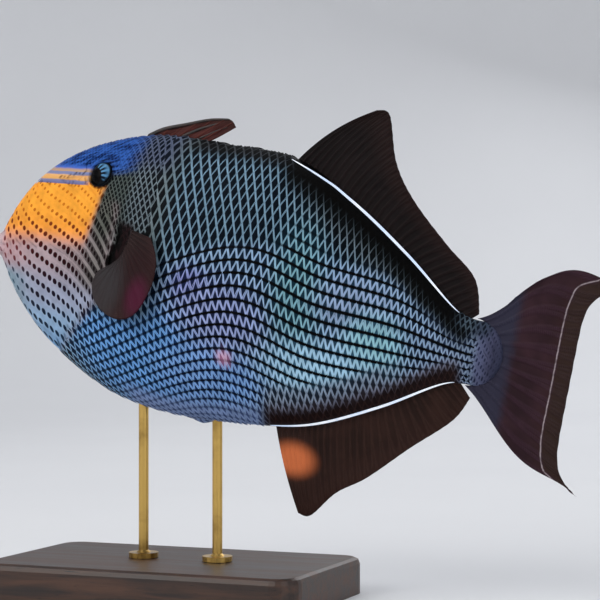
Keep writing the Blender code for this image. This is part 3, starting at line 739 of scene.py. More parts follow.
    yield (glow * soft_step(level - 0.10 * place, -0.004, 0.034), "E8976A", "541C14", 0.68, 0.68, 0.0, 1.0)
    yield (glow * soft_step(level - 0.10 * place, 0.012, 0.044), "F39C3A", "743012", 0.60, 0.60, 0.0, 1.0)
    yield (glow * soft_step(level - 0.08 * place, 0.044, 0.082), "F6A438", "C87018", 0.44, 0.44, 0.0, 1.0)
    yield (ray_band * soft_step(below_back, 0.036, 0.022), "040404", "020202", 0.8, 0.8, 0.0, 0.0)
    yield (anal_band * soft_step(above_belly, 0.036, 0.022), "281A18", "1A1010", 0.8, 0.8, 0.0, 0.0)
    yield (soft_step(place, 0.895, 0.935) * soft_step(level, 0.010, 0.036),
           "465460", "060C14", 0.68, 0.72, 0.4, 0.0)
    yield (soft_step(place, 0.942, 0.962), "565B77", "242842", 0.50, 0.50, 0.0, 0.9)
    yield (soft_step(place, 0.935, 0.955) * soft_step(level, 0.002, 0.030),
           "343D4D", "0E141E", 0.62, 0.66, 0.0, 0.3)
    yield (soft_step(place, 0.960, 0.982), "414259", "26293C", 0.46, 0.46, 0.0, 0.9)
    yield (soft_step(place, 0.976, 0.994), "34364A", "26283A", 0.42, 0.42, 0.0, 1.0)
    lips = soft_step(place, 0.026, 0.016) * soft_step(np.abs(level), 0.032, 0.022)
    yield (lips, "B8A0A4", "8E6E76", 0.4, 0.4, 0.0, 1.0)
    slit_line = smooth_rows(GILL_SLIT, np.linspace(0, 3, 25))
    slit_x = np.interp(level, slit_line[::-1, 1], slit_line[::-1, 0])
    behind_slit = place - slit_x
    # Painted shade: dark wine skin behind the gill slit, partly the dark skin at the pectoral fin's root
    # and partly painted shadow of that fin.
    yield (soft_step(behind_slit, -0.003, 0.001) * soft_step(behind_slit, 0.042, 0.024)
           * soft_step(level, 0.100, 0.082) * soft_step(level, -0.01, 0.012),
           "1E1012", "0A0506", 0.6, 0.6, 0.0, 0.0)
    # Painted shade: a black wedge in and just behind the sunk gill slit, where the pectoral fin's root
    # shades it.
    yield (soft_step(behind_slit, -0.004, 0.000) * soft_step(behind_slit, 0.012, 0.0075)
           * soft_step(level, 0.090, 0.078) * soft_step(level, 0.004, 0.014),
           "020202", "010101", 0.8, 0.8, 0.0, 0.0)
    orbit = np.hypot(place - EYE_PLACE[0], level - EYE_PLACE[1])
    yield (soft_step(orbit, 0.0285, 0.0255), "0A0E12", "040608", 0.8, 0.8, 0.0, 0.0)


FINE_COLUMNS = ((0.00, 0.0100), (0.10, 0.0085), (0.20, 0.0075), (0.25, 0.0085), (0.285, 0.0096),
                (0.32, 0.0114), (0.38, 0.0140), (0.90, 0.0125), (0.95, 0.0092), (1.00, 0.0070))
FINE_ROWS = ((0.00, 0.0060), (0.20, 0.0055), (0.25, 0.0060), (0.285, 0.0085), (0.32, 0.0105),
             (0.38, 0.0110), (0.90, 0.0105), (0.95, 0.0100), (1.00, 0.0075))
FINE_MIDDLE = 0.150


def fine_numbers(place, height):
    """Line numbers of the finer net: the forehead, behind the eye and the end of the stem."""
    back, belly, _ = section(place)
    level = belly + height * (back - belly)
    column = column_count(place, FINE_COLUMNS)
    row = (FINE_MIDDLE - level) / np.interp(place, *np.array(FINE_ROWS).T)
    return column - row / 2, column + row / 2


def fine_zone(place, level):
    """Where the finer net takes the place of the wide one."""
    front = (place > 0.060) & (over_orange(place, level) > 0.0)
    front |= (place > 0.234 + 0.1 * (level - 0.1)) & (level > 0.095)
    front |= (place > 0.273) & (level > 0.050)
    return (front & (place < 0.336 - 0.06 * (level - 0.15))) | (place > 0.952)


def cheek_zone(place, level):
    """Where the cheek's squarish scales lie."""
    return (place < 0.272 + 0.75 * np.minimum(level + 0.04, 0)) & ~fine_zone(place, level)


def plate_lift(place, level):
    """How far plates stand up: lowest on the cheek, the forehead and the stem's end."""
    cheek = soft_step(place, 0.28, 0.25)
    return 1.0 - 0.86 * cheek - 0.5 * soft_step(place, 0.92, 0.95)


def paint(mesh, numbers=None):
    """Stores each point's region colours, its place and its scale numbers on a mesh."""
    places = places_of(mesh)
    count = len(places)
    place, level = places[:, 0], places[:, 2]
    back, belly, _ = section(place)
    level_in = np.clip(level, belly + 0.0005, back - 0.0005)
    pale, deep = np.zeros((count, 3)), np.zeros((count, 3))
    looks, roundel = np.zeros((count, 3)), np.zeros(count)
    for (cover, pale_code, deep_code, first_cut, second_cut, row_line,
         round_share) in regions(place, level_in):
        share = cover[:, None]
        pale += (np.array(tint(pale_code)[:3]) - pale) * share
        deep += (np.array(tint(deep_code)[:3]) - deep) * share
        looks += (np.array((first_cut, second_cut, row_line)) - looks) * share
        roundel += (round_share - roundel) * cover
    fine, cheek = np.zeros((count, 3)), np.zeros((count, 3))
    if numbers is None:
        height = height_share(place, ring_turn(place, places[:, 1], level))
        numbers = net_numbers(place, height)
        fine[:, :2] = np.stack(fine_numbers(place, height), -1)
        fine[:, 2] = fine_zone(place, level)
        cheek[:, :2] = np.stack(cheek_numbers(place, height), -1)
        cheek[:, 2] = cheek_zone(place, level)
    cells = np.stack((numbers[0], numbers[1], 1.0 + 0.65 * cheek_zone(place, level)), -1)
    for name, values in (("pale", pale), ("deep", deep), ("looks", looks), ("cell", cells),
                         ("fine_cell", fine), ("cheek_cell", cheek), ("place", places)):
        store(mesh, name, values)
    streak = soft_step(place, 0.06, 0.10) * soft_step(place, 0.300, 0.245)
    streak = streak * soft_step(over_orange(place, level), 0.020, 0.034)
    store(mesh, "streak", streak)
    store(mesh, "roundel", roundel)


def unwrap(mesh, patches=None):
    """The bake map: left flank in the lower half, right flank in the upper half."""
    places = places_of(mesh)
    corner = np.empty(len(mesh.loops), int)
    mesh.loops.foreach_get("vertex_index", corner)
    starts = np.empty(len(mesh.polygons), int)
    totals = np.empty(len(mesh.polygons), int)
    mesh.polygons.foreach_get("loop_start", starts)
    mesh.polygons.foreach_get("loop_total", totals)
    owner = np.repeat(np.arange(len(starts)), totals)
    middle_y = np.bincount(owner, places[corner, 1]) / totals
    upper = (middle_y > 0)[owner]
    if patches is None:
        back, belly, _ = section(places[:, 0])
        middle = (back + belly) / 2
        lift_share = np.clip((places[:, 2] - middle) / (back - middle), -1, 1)
        height = 1 - np.arccos(lift_share) / math.pi
        u, v = 0.012 + 0.97 * np.clip(places[:, 0], 0, 1.005), 0.012 + 0.476 * height
    else:
        u, v = patches
    coords = np.stack((u[corner], v[corner] + 0.5 * upper), -1)
    layer = mesh.uv_layers.new(name="OFBake")
    layer.data.foreach_set("uv", coords.astype(np.float32).ravel())


paint(skin_mesh)
unwrap(skin_mesh)

scaled_skin, tree, shader = new_material("scaled_skin")
roundel = stored(tree, "roundel", "Fac")
run_along, _, run_up = split(tree, stored(tree, "place"))
cell = stored(tree, "cell")
squat = split(tree, cell)["Z"]
for name in ("fine_cell", "cheek_cell"):
    other = stored(tree, name)
    here = sums(tree, "GREATER_THAN", split(tree, other)["Z"], 0.5)
    cell = blend_colours(tree, here, cell, other)
first_cut, second_cut, line_strength = split(tree, stored(tree, "looks"))
grain, mottle = noise(tree, 900.0), noise(tree, 160.0, 4.0)
uneven = minus(tree, mottle, 0.5)
wander = times(tree, uneven, 0.16)
offs = [minus(tree, sums(tree, "FRACT", plus(tree, split(tree, cell)[part], wander)), 0.5)
        for part in "XY"]
reaches = [times(tree, sums(tree, "ABSOLUTE", off), 2.0) for off in offs]
in_first = ramp(tree, minus(tree, reaches[0], first_cut), -0.09, 0.09, 1.0, 0.0)
in_second = ramp(tree, minus(tree, reaches[1], second_cut), -0.09, 0.09, 1.0, 0.0)
square_cell = times(tree, in_first, in_second)
radial = distance(tree, times(tree, reaches[0], squat), reaches[1])
round_cell = ramp(tree, minus(tree, radial, first_cut), -0.10, 0.12, 1.0, 0.0)
dark = plus(tree, times(tree, square_cell, minus(tree, 1.0, roundel)), times(tree, round_cell, roundel))
row_off = sums(tree, "ABSOLUTE", minus(tree, offs[1], offs[0]))
row_near = sums(tree, "MINIMUM", row_off, minus(tree, 1.0, row_off))
row_near = sums(tree, "DIVIDE", row_near, sums(tree, "MAXIMUM", line_strength, 1.0))
row_line = ramp(tree, row_near, 0.07, 0.15, 1.0, 0.0)
row_line = times(tree, row_line, sums(tree, "MINIMUM", line_strength, 1.0))
shade = plus(tree, times(tree, uneven, 0.7), 1.0)
pale_varied = blend_colours(tree, 1.0, stored(tree, "pale", "Color"), shade, "MULTIPLY")
net_colour = blend_colours(tree, dark, pale_varied, stored(tree, "deep", "Color"))
net_colour = blend_colours(tree, row_line, net_colour, tint("010204"))
streak_across = minus(tree, run_up, times(tree, run_along, 0.50))
streak_spot = add(tree, "ShaderNodeCombineXYZ", {0: times(tree, run_along, 38.0),
                                                 1: times(tree, streak_across, 190.0)}).outputs[0]
streaks = ramp(tree, noise(tree, 1.0, at=streak_spot), 0.40, 0.60)
streak_colour = blend_colours(tree, streaks, tint("050E30"), tint("305AA4"))
streak_share = times(tree, stored(tree, "streak", "Fac"), 0.72)
net_colour = blend_colours(tree, streak_share, net_colour, streak_colour)
band_at = minus(tree, minus(tree, run_up, 0.1262), times(tree, minus(tree, run_along, 0.06), 0.11))
band_wave = times(tree, uneven, 0.004)
band_fac = sums(tree, "DIVIDE", plus(tree, band_at, band_wave), 0.04)
bands = add(tree, "ShaderNodeValToRGB", {"Fac": band_fac})
stops = ((0.0, "6A6890"), (0.17, "7C7EA2"), (0.22, "E0A660"), (0.40, "EAB274"), (0.45, "8688A8"),
         (0.56, "7A84AE"), (0.61, "C09C78"), (0.70, "B0948A"), (0.78, "4A6CC0"), (1.0, "3464CC"))
while len(bands.color_ramp.elements) < len(stops):
    bands.color_ramp.elements.new(0.5)
for stop, (at, code) in zip(bands.color_ramp.elements, stops):
    stop.position = at
    stop.color = tint(code)
band_share = times(tree, ramp(tree, band_at, -0.0008, 0.0008), ramp(tree, band_at, 0.040, 0.030))
band_share = times(tree, band_share, ramp(tree, run_along, 0.200, 0.180))
band_share = times(tree, band_share, ramp(tree, run_along, 0.035, 0.050))
net_colour = blend_colours(tree, band_share, net_colour, bands.outputs["Color"])
fill(tree, shader, {"Base Color": net_colour, "Roughness": plus(tree, times(tree, grain, 0.20), 0.36),
                    "Specular IOR Level": 0.04, "Normal": relief(tree, grain, 0.25, 0.0003)})

skin_mesh.materials.append(scaled_skin)
set_out("skin", skin_mesh, "scaled_skin", "head", "trunk", "tail_stem")


# Scales
# Thin hard plates, one to each cell of the net, cast with a keel and laid edge to edge in the
# rows of the living fish. Each is set by its two edges and the way it faces, so it takes the
# slant and size of its cell, and its border is sunk just below the skin.

PLATE_HEIGHT = 0.00030
PLATE_FILL = 0.96
BAKE_PATCH = 0.003


def plate_mesh():
    """One scale as a closed shell: a sunk point, three rings of eight and a crest."""
    around = ((-1, -1), (0, -1), (1, -1), (1, 0), (1, 1), (0, 1), (-1, 1), (-1, 0))
    verts = [(0.0, 0.0, -1.2)]
    for size, height, corner in ((0.5 * PLATE_FILL, -0.75, 0.98), (0.43, 0.30, 0.97), (0.24, 0.84, 0.92)):
        for x, y in around:
            pull = corner if x and y else 1.0
            keel = 0.16 if x == y and size < 0.45 else 0.0
            verts.append((x * size * pull, y * size * pull, height + keel))
    verts.append((0.0, 0.0, 1.05))
    faces = [(0, 1 + (i + 1) % 8, 1 + i) for i in range(8)]
    for k in range(2):
        for i in range(8):
            j = (i + 1) % 8
            p, q = 1 + 8 * k, 9 + 8 * k
            faces.append((p + i, p + j, q + j, q + i))
    faces += [(17 + i, 17 + (i + 1) % 8, 25) for i in range(8)]
    mesh = bpy.data.meshes.new("one_scale")
    mesh.from_pydata(verts, [], faces)
    store(mesh, "local", verts)
    for edge in mesh.edges:
        edge.use_edge_sharp = all(1 <= vertex <= 8 for vertex in edge.vertices)
    return mesh


def on_flank(place, turn, side):
    """Points of the body's surface at a place and turn, in metres."""
    back, belly, wide = section(place)
    power = 2 / roundness(place, np.cos(turn) >= 0)
    across = side * wide * np.abs(np.sin(turn)) ** power
    level = (back + belly) / 2 + (back - belly) / 2 * ring_rise(place, turn)
    return np.stack((place, across, level), -1) * LENGTH


def slopes_at(work, place, turn):
    """How fast something on the flank changes with place and with turn."""
    by_place = (work(place + 0.0008, turn) - work(place - 0.0008, turn)) / 0.0016
    by_turn = (work(place, turn + 0.004) - work(place, turn - 0.004)) / 0.008
    return by_place, by_turn


def scale_spots(net, first_place, last_place, finest):
    """Each scale's place and turn on the flank: where both line numbers end in a half."""
    def lines_at(place, turn):
        """Both line numbers of the net at a place and a turn."""
        return np.stack(net(place, height_share(place, turn)), -1)

    places = np.arange(first_place, last_place, finest)
    turns_down = np.linspace(0.03, math.pi - 0.03, int(0.45 / finest))
    spot_s, spot_t = [g.ravel() for g in np.meshgrid(places, turns_down, indexing="ij")]
    lines = lines_at(spot_s, spot_t)
    keys = np.floor(lines)
    miss = np.hypot(*(lines - keys - 0.5).T)
    order = np.lexsort((miss, keys[:, 1], keys[:, 0]))
    keys, miss, spot_s, spot_t = keys[order], miss[order], spot_s[order], spot_t[order]
    fresh = np.ones(len(keys), bool)
    fresh[1:] = (keys[1:] != keys[:-1]).any(axis=1)
    keep = fresh & (miss < 0.30)
    keys, spot_s, spot_t = keys[keep], spot_s[keep], spot_t[keep]
    for _ in range(4):
        by_place, by_turn = slopes_at(lines_at, spot_s, spot_t)
        gap = keys + 0.5 - lines_at(spot_s, spot_t)
        det = by_place[:, 0] * by_turn[:, 1] - by_turn[:, 0] * by_place[:, 1]
        det = np.where(np.abs(det) < 1e-6, 1e-6, det)
        move_s = (by_turn[:, 1] * gap[:, 0] - by_turn[:, 0] * gap[:, 1]) / det
        move_t = (by_place[:, 0] * gap[:, 1] - by_place[:, 1] * gap[:, 0]) / det
        spot_s = spot_s + np.clip(move_s, -0.004, 0.004)
        spot_t = np.clip(spot_t + np.clip(move_t, -0.03, 0.03), 0.012, math.pi - 0.012)
    to_first = np.stack((by_turn[:, 1], -by_place[:, 1]), -1) / det[:, None]
    to_second = np.stack((-by_turn[:, 0], by_place[:, 0]), -1) / det[:, None]
    settled = np.hypot(*(keys + 0.5 - lines_at(spot_s, spot_t)).T) < 0.06
    return [part[settled] for part in (keys, spot_s, spot_t, to_first, to_second)]


def bare(place, level):
    """Where the skin has no plates: lips, orbit, groove, slits and along the fins."""
    back, belly, _ = section(place)
    hidden = place < 0.030
    hidden |= np.hypot(place - EYE_PLACE[0], level - EYE_PLACE[1]) < 0.034
    hidden |= (place > 0.555) & (place < 0.935) & (back - level < 0.030)
    hidden |= (place > 0.600) & (place < 0.935) & (level - belly < 0.024)
    hidden |= np.hypot((place - 0.280) / 0.012, (level - 0.046) / 0.038) < 1
    for spot in NOSTRILS:
        hidden |= np.hypot(place - spot[0], level - spot[1]) < 0.008
    groove = smooth_rows(EYE_GROOVE, np.linspace(0, 2, 13))
    for spot in groove:
        hidden |= np.hypot(place - spot[0], level - spot[1]) < 0.006
    rise_here = (level - STEM_MIDDLE) / STEM_HALF_HEIGHT
    hidden |= place > stem_end(np.clip(rise_here, -1, 1)) - 0.006
    return hidden


def levels_at(net):
    """The level of each plate's middle, as a share of the length."""
    return on_flank(net[1], net[2], 1.0)[:, 2] / LENGTH


found = []
for net, first_place, last_place, finest, zone in (
        (net_numbers, 0.12, 0.945, 0.0011, lambda s, z: ~fine_zone(s, z) & ~cheek_zone(s, z)),
        (fine_numbers, 0.055, 0.345, 0.0008, fine_zone), (fine_numbers, 0.945, 0.998, 0.0008, fine_zone),
        (cheek_numbers, 0.012, 0.280, 0.0011, cheek_zone)):
    spots = scale_spots(net, first_place, last_place, finest)
    inside = zone(spots[1], levels_at(spots))
    found.append([part[inside] for part in spots])
keys, spot_s, spot_t, lead_first, lead_second = [np.concatenate(parts) for parts in zip(*found)]
centre_line = on_flank(spot_s, spot_t, 1.0)
seen = ~bare(spot_s, centre_line[:, 2] / LENGTH) & (centre_line[:, 1] > 0.0030)
fore, round_ = slopes_at(lambda s, t: on_flank(s, t, 1.0), spot_s, spot_t)
edge_lengths = [np.linalg.norm(fore * lead[:, :1] + round_ * lead[:, 1:], axis=1)
                for lead in (lead_first, lead_second)]
seen &= np.maximum(*edge_lengths) < 0.0105
keys, spot_s, spot_t = keys[seen], spot_s[seen], spot_t[seen]
lead_first, lead_second = lead_first[seen], lead_second[seen]


def new_tree(name, **inputs):
    """An empty geometry tree with its named inputs, and what it is given."""
    tree = bpy.data.node_groups.new(name, "GeometryNodeTree")
    sockets = {}
    for label, kind in (("Geometry", "Geometry"), *inputs.items(), ("Finish", "Material")):
        sockets[label] = tree.interface.new_socket(label.replace("_", " "), in_out="INPUT",
                                                   socket_type="NodeSocket" + kind)
    tree.interface.new_socket("Geometry", in_out="OUTPUT", socket_type="NodeSocketGeometry")
    return tree, sockets, add(tree, "NodeGroupInput").outputs


def end_tree(tree, given, geometry):
    """Smooths what a tree has made, makes its copies real and gives it its finish."""
    smooth = add(tree, "GeometryNodeSetShadeSmooth", {"Geometry": geometry})
    real = add(tree, "GeometryNodeRealizeInstances", {"Geometry": smooth.outputs["Geometry"]})
    finish = add(tree, "GeometryNodeSetMaterial",
                 {"Geometry": real.outputs["Geometry"], "Material": given["Finish"]})
    add(tree, "NodeGroupOutput", {"Geometry": finish.outputs["Geometry"]})


def made_by(tree, sockets, mesh, **values):
    """The plain mesh that a tree makes of a mesh, with the modifier taken off again."""
    thing = bpy.data.objects.new(mesh.name, mesh)
    scene.collection.objects.link(thing)
    making = thing.modifiers.new("making", "NODES")
    making.node_group = tree
    for name, value in values.items():
        making[sockets[name].identifier] = value
    bpy.context.view_layer.update()
    graph = bpy.context.evaluated_depsgraph_get()
    made = bpy.data.meshes.new_from_object(thing.evaluated_get(graph))
    thing.modifiers.clear()
    bpy.data.objects.remove(thing)
    return made


def along(tree, vector, length):
    """A vector made longer or shorter."""
    scaled = add(tree, "ShaderNodeVectorMath", {0: vector}, operation="SCALE")
    fill(tree, scaled, {"Scale": length})
    return scaled.outputs[0]


plate_tree, plate_sockets, given = new_tree("scale_laying", Plate_Height="Float", Plate="Object")
shape = add(plate_tree, "GeometryNodeObjectInfo", {"Object": given["Plate"]})
laid = add(plate_tree, "GeometryNodeInstanceOnPoints",
           {"Points": given["Geometry"], "Instance": shape.outputs["Geometry"]})
columns = [add(plate_tree, "GeometryNodeInputNamedAttribute", {"Name": name},
               data_type="FLOAT_VECTOR").outputs["Attribute"]
           for name in ("first_edge", "second_edge", "facing")]
columns[2] = along(plate_tree, columns[2], given["Plate Height"])
columns.append(add(plate_tree, "GeometryNodeInputPosition").outputs[0])
matrix = add(plate_tree, "FunctionNodeCombineMatrix")
for column, vector in enumerate(columns, 1):
    parts = split(plate_tree, vector)
    for line, axis in enumerate("XYZ", 1):
        plate_tree.links.new(parts[axis], matrix.inputs[f"Column {column} Row {line}"])
placed = add(plate_tree, "GeometryNodeSetInstanceTransform",
             {"Instances": laid.outputs["Instances"], "Transform": matrix.outputs["Matrix"]})
end_tree(plate_tree, given, placed.outputs["Instances"])


def read(mesh, name, width=3):
    """A named attribute of a mesh as an array."""
    values = np.empty(len(mesh.vertices) * width, np.float32)
    mesh.attributes[name].data.foreach_get("vector" if width == 3 else "value", values)
    return values.reshape(-1, width)


one_plate = bpy.data.objects.new("one_scale", plate_mesh())
scene.collection.objects.link(one_plate)
for side, side_name in ((-1, "left"), (1, "right")):
    centres = on_flank(spot_s, spot_t, side)
    fore, round_ = slopes_at(lambda s, t: on_flank(s, t, side), spot_s, spot_t)
    out = np.cross(fore, round_) * -side
    out /= np.linalg.norm(out, axis=1, keepdims=True)
    edges = [fore * lead[:, :1] + round_ * lead[:, 1:] for lead in (lead_first, lead_second)]
    origin = to_world(np.zeros(3))
    turned = [to_world(edge) - origin for edge in edges]
    lift = plate_lift(spot_s, centres[:, 2] / LENGTH) * (0.4 + 0.6 * soft_step(np.sin(spot_t), 0.2, 0.6))
    facing = (to_world(out) - origin) * lift[:, None]
    spots_mesh = bpy.data.meshes.new("scale_spots")
    spots_mesh.from_pydata(to_world(centres - out * PLATE_ROOM).tolist(), [], [])
    numbers = np.concatenate((keys + 0.5, np.full((len(keys), 1), side)), axis=1)
    root = np.stack((spot_s, centres[:, 2] / LENGTH, np.zeros(len(spot_s))), -1)
    for name, values in (("first_edge", turned[0]), ("second_edge", turned[1]),
                         ("facing", facing), ("numbers", numbers), ("root", root)):
        store(spots_mesh, name, values)
    mesh = made_by(plate_tree, plate_sockets, spots_mesh, Plate_Height=PLATE_HEIGHT,
                   Plate=one_plate, Finish=scaled_skin)
    mesh.name = "scales_" + side_name
    local, numbers = read(mesh, "local"), read(mesh, "numbers")
    each = np.repeat(np.arange(len(spot_s)), len(local) // len(spot_s))
    flat = soft_step(spot_s, 0.28, 0.25)[each] * (np.abs(local[:, 2] + 0.75) < 0.01)
    out_by = local[:, :2] * (1 + 0.035 * flat)[:, None]
    bent_s = spot_s[each] + lead_first[each, 0] * out_by[:, 0] + lead_second[each, 0] * out_by[:, 1]
    bent_t = spot_t[each] + lead_first[each, 1] * out_by[:, 0] + lead_second[each, 1] * out_by[:, 1]
    bent_s, bent_t = np.clip(bent_s, 0.005, 0.999), np.clip(bent_t, 0.010, math.pi - 0.010)
    fore, round_ = slopes_at(lambda s, t: on_flank(s, t, side), bent_s, bent_t)
    out = np.cross(fore, round_) * -side
    out /= np.linalg.norm(out, axis=1, keepdims=True)
    rise_by = PLATE_HEIGHT * ((local[:, 2] + 0.95 * flat) * lift[each])[:, None] - PLATE_ROOM
    bent = to_world(on_flank(bent_s, bent_t, side) + out * rise_by)
    mesh.vertices.foreach_set("co", bent.astype(np.float32).ravel())
    root = read(mesh, "root")
    paint(mesh, (numbers[:, 0] + local[:, 0], numbers[:, 1] + local[:, 1]))
    back, belly, _ = section(root[:, 0])
    middle = (back + belly) / 2
    height = 1 - np.arccos(np.clip((root[:, 1] - middle) / (back - middle), -1, 1)) / math.pi
    unwrap(mesh, (0.012 + 0.97 * root[:, 0] + BAKE_PATCH * local[:, 0],
                  0.012 + 0.476 * height + BAKE_PATCH * local[:, 1]))
    for name in ("first_edge", "second_edge", "facing", "numbers", "root", "local"):
        layer = mesh.attributes.get(name)
        if layer:
            mesh.attributes.remove(layer)
    face_out(mesh, smooth=False)
    set_out("scales_" + side_name, mesh, "scaled_skin")
bpy.data.objects.remove(one_plate)


# Eyes
# A polished ball in each socket, looking a little forward and down: a black pupil in a dark
# iris, and a bright blue membrane behind it that short dark spokes cross.

EYE_RINGS = 40
EYE_TURNS = 72

eye_paint, tree, shader = new_material("eye")
gaze_across, gaze_up, _ = split(tree, stored(tree, "gaze"))
pupil_x, pupil_y = plus(tree, gaze_across, 0.30), plus(tree, gaze_up, 0.34)
from_pupil = distance(tree, pupil_x, pupil_y)
spoke_waves = sums(tree, "COSINE", times(tree, sums(tree, "ARCTAN2", pupil_y, pupil_x), 15.0))
blue = blend_colours(tree, noise(tree, 1500.0), tint("2E6090"), tint("6CA2C8"))
spokes_dark = times(tree, ramp(tree, spoke_waves, -0.45, 0.25), ramp(tree, from_pupil, 1.25, 0.80))
membrane = blend_colours(tree, spokes_dark, blue, tint("0A1420"))
rim_dark = ramp(tree, distance(tree, gaze_across, gaze_up), 0.68, 0.80)
membrane = blend_colours(tree, rim_dark, membrane, tint("05080C"))
lower = ramp(tree, plus(tree, gaze_across, gaze_up), 0.22, -0.16)
membrane = blend_colours(tree, lower, membrane, tint("101418"))
iris = blend_colours(tree, ramp(tree, from_pupil, 0.38, 0.44), tint("010102"), tint("0A0707"))
eye_colour = blend_colours(tree, ramp(tree, from_pupil, 0.58, 0.64), iris, membrane)
fill(tree, shader, {"Base Color": eye_colour, "Roughness": 0.30, "Specular IOR Level": 0.04})

for side, side_name in ((-1, "left"), (1, "right")):
    out = flank_normal(*EYE_PLACE, side)
    centre = flank(*EYE_PLACE, side) - out * EYE_SINK
    back_ward = np.cross((0.0, 0.0, 1.0), out) * side
    back_ward /= np.linalg.norm(back_ward)
    if back_ward[0] < 0:
        back_ward = -back_ward
    up_ward = np.cross(out, back_ward)
    if up_ward[2] < 0:
        up_ward = -up_ward
    verts, gazes = [], []
    for k in range(EYE_RINGS + 1):
        polar = math.pi * k / EYE_RINGS
        count = 1 if k in (0, EYE_RINGS) else EYE_TURNS
        for i in range(count):
            turn = math.tau * i / EYE_TURNS
            x, y = math.sin(polar) * math.cos(turn), math.sin(polar) * math.sin(turn)
            deep_here = math.cos(polar)
            away = (x * back_ward + y * up_ward) * EYE_RADIUS + out * deep_here * EYE_DEPTH_RADIUS
            verts.append(centre + away)
            gazes.append((x, y, deep_here))
    faces = []
    for k in range(EYE_RINGS):
        for i in range(EYE_TURNS):
            j = (i + 1) % EYE_TURNS
            upper = 1 + (k - 1) * EYE_TURNS
            lower_ring = 1 + k * EYE_TURNS
            if k == 0:
                faces.append((0, 1 + i, 1 + j))
            elif k == EYE_RINGS - 1:
                faces.append((upper + i, len(verts) - 1, upper + j))
            else:
                faces.append((upper + i, lower_ring + i, lower_ring + j, upper + j))
    mesh = bpy.data.meshes.new("eyeball_" + side_name)
    mesh.from_pydata(to_world(np.array(verts)).tolist(), [], faces)
    store(mesh, "gaze", gazes)
    face_out(mesh)
    mesh.materials.append(eye_paint)
    set_out("eyeball_" + side_name, mesh, "eye", "eye_" + side_name)


# Second dorsal and anal fins
# Thin webs cast round soft rays that fork twice on their way to the edge. A node tree thickens
# a sheet along its rays; both fins stand in the groove between the pale lines at their foot.

DORSAL_BASE = (0.560, 0.928)
DORSAL_TIPS = ((0.692, 0.366), (0.716, 0.360), (0.745, 0.283), (0.790, 0.224), (0.862, 0.160),
               (0.922, 0.112), (0.943, 0.054))
ANAL_BASE = (0.612, 0.930)
ANAL_TIPS = ((0.684, -0.358), (0.708, -0.356), (0.748, -0.306), (0.800, -0.266),
             (0.866, -0.198), (0.930, -0.136), (0.955, -0.090))
ROOT_IN = 0.006

ray_tree, ray_sockets, given = new_tree(
    "fin_rays", Rays="Float", Ray_At_Root="Float", Ray_At_Edge="Float", Web_At_Root="Float",
    Web_At_Edge="Float", First_Fork="Float", Second_Fork="Float", Fork_Spread="Float")
fan = add(ray_tree, "GeometryNodeInputNamedAttribute", {"Name": "fan"}, data_type="FLOAT_VECTOR")
across, outward_share, _ = split(ray_tree, fan.outputs["Attribute"])
ray_place = times(ray_tree, across, minus(ray_tree, given["Rays"], 1.0))
off_ray = minus(ray_tree, sums(ray_tree, "FRACT", plus(ray_tree, ray_place, 0.5)), 0.5)
off_ray = sums(ray_tree, "ABSOLUTE", off_ray)
for fork, share in (("First Fork", 1.0), ("Second Fork", 0.5)):
    opened = ramp(ray_tree, outward_share, given[fork], 1.15)
    opened = times(ray_tree, opened, times(ray_tree, given["Fork Spread"], share))
    off_ray = sums(ray_tree, "ABSOLUTE", minus(ray_tree, off_ray, opened))
half_width = ramp(ray_tree, outward_share, 0.0, 1.0, 0.30, 0.12)
ridge = ramp(ray_tree, sums(ray_tree, "DIVIDE", off_ray, half_width), 1.0, 0.15)
ray_thick = ramp(ray_tree, outward_share, 0.0, 1.0, given["Ray At Root"], given["Ray At Edge"])
web_thick = ramp(ray_tree, outward_share, 0.0, 1.0, given["Web At Root"], given["Web At Edge"])
thick = plus(ray_tree, web_thick, times(ray_tree, ridge, minus(ray_tree, ray_thick, web_thick)))
edge_near = outward_share
for distance_in in (minus(ray_tree, 1.0, outward_share), across, minus(ray_tree, 1.0, across)):
    edge_near = sums(ray_tree, "MINIMUM", edge_near, distance_in)
thick = times(ray_tree, thick, sums(ray_tree, "SQRT", ramp(ray_tree, edge_near, 0.0, 0.012)))
kept = add(ray_tree, "GeometryNodeStoreNamedAttribute",
           {"Geometry": given["Geometry"], "Name": "ridge", "Value": ridge},
           data_type="FLOAT", domain="POINT")
normal = add(ray_tree, "GeometryNodeInputNormal").outputs[0]
both = add(ray_tree, "GeometryNodeJoinGeometry")
for half in (0.5, -0.5):
    offset = along(ray_tree, normal, times(ray_tree, thick, half))
    face = add(ray_tree, "GeometryNodeSetPosition",
               {"Geometry": kept.outputs["Geometry"], "Offset": offset})
    if half < 0:
        face = add(ray_tree, "GeometryNodeFlipFaces", {"Mesh": face.outputs["Geometry"]})
    ray_tree.links.new(face.outputs[0], both.inputs["Geometry"])
closed = add(ray_tree, "GeometryNodeMergeByDistance",
             {"Geometry": both.outputs["Geometry"], "Distance": 2e-6})
end_tree(ray_tree, given, closed.outputs["Geometry"])


def cast_fin(name, node, slot, sheet, finish_material, across_count, out_count, **sizes):
    """A fin from a function of its share across and outwards, thickened along its rays."""
    u, v = np.meshgrid(np.linspace(0, 1, across_count), np.linspace(0, 1, out_count), indexing="ij")
    points = to_world(sheet(u.ravel(), v.ravel()) * LENGTH)
    numbers = np.arange(across_count * out_count).reshape(across_count, out_count)
    quads = np.stack((numbers[:-1, :-1], numbers[1:, :-1], numbers[1:, 1:], numbers[:-1, 1:]), -1)
    mesh = bpy.data.meshes.new(name + "_sheet")
    mesh.from_pydata(points.tolist(), [], quads.reshape(-1, 4).tolist())
    store(mesh, "fan", np.stack((u.ravel(), v.ravel(), np.zeros(u.size)), -1))
    made = made_by(ray_tree, ray_sockets, mesh, Finish=finish_material, **sizes)
    made.name = name
    face_out(made, smooth=False)
    store(made, "place", places_of(made))
    return set_out(name, made, slot, node)


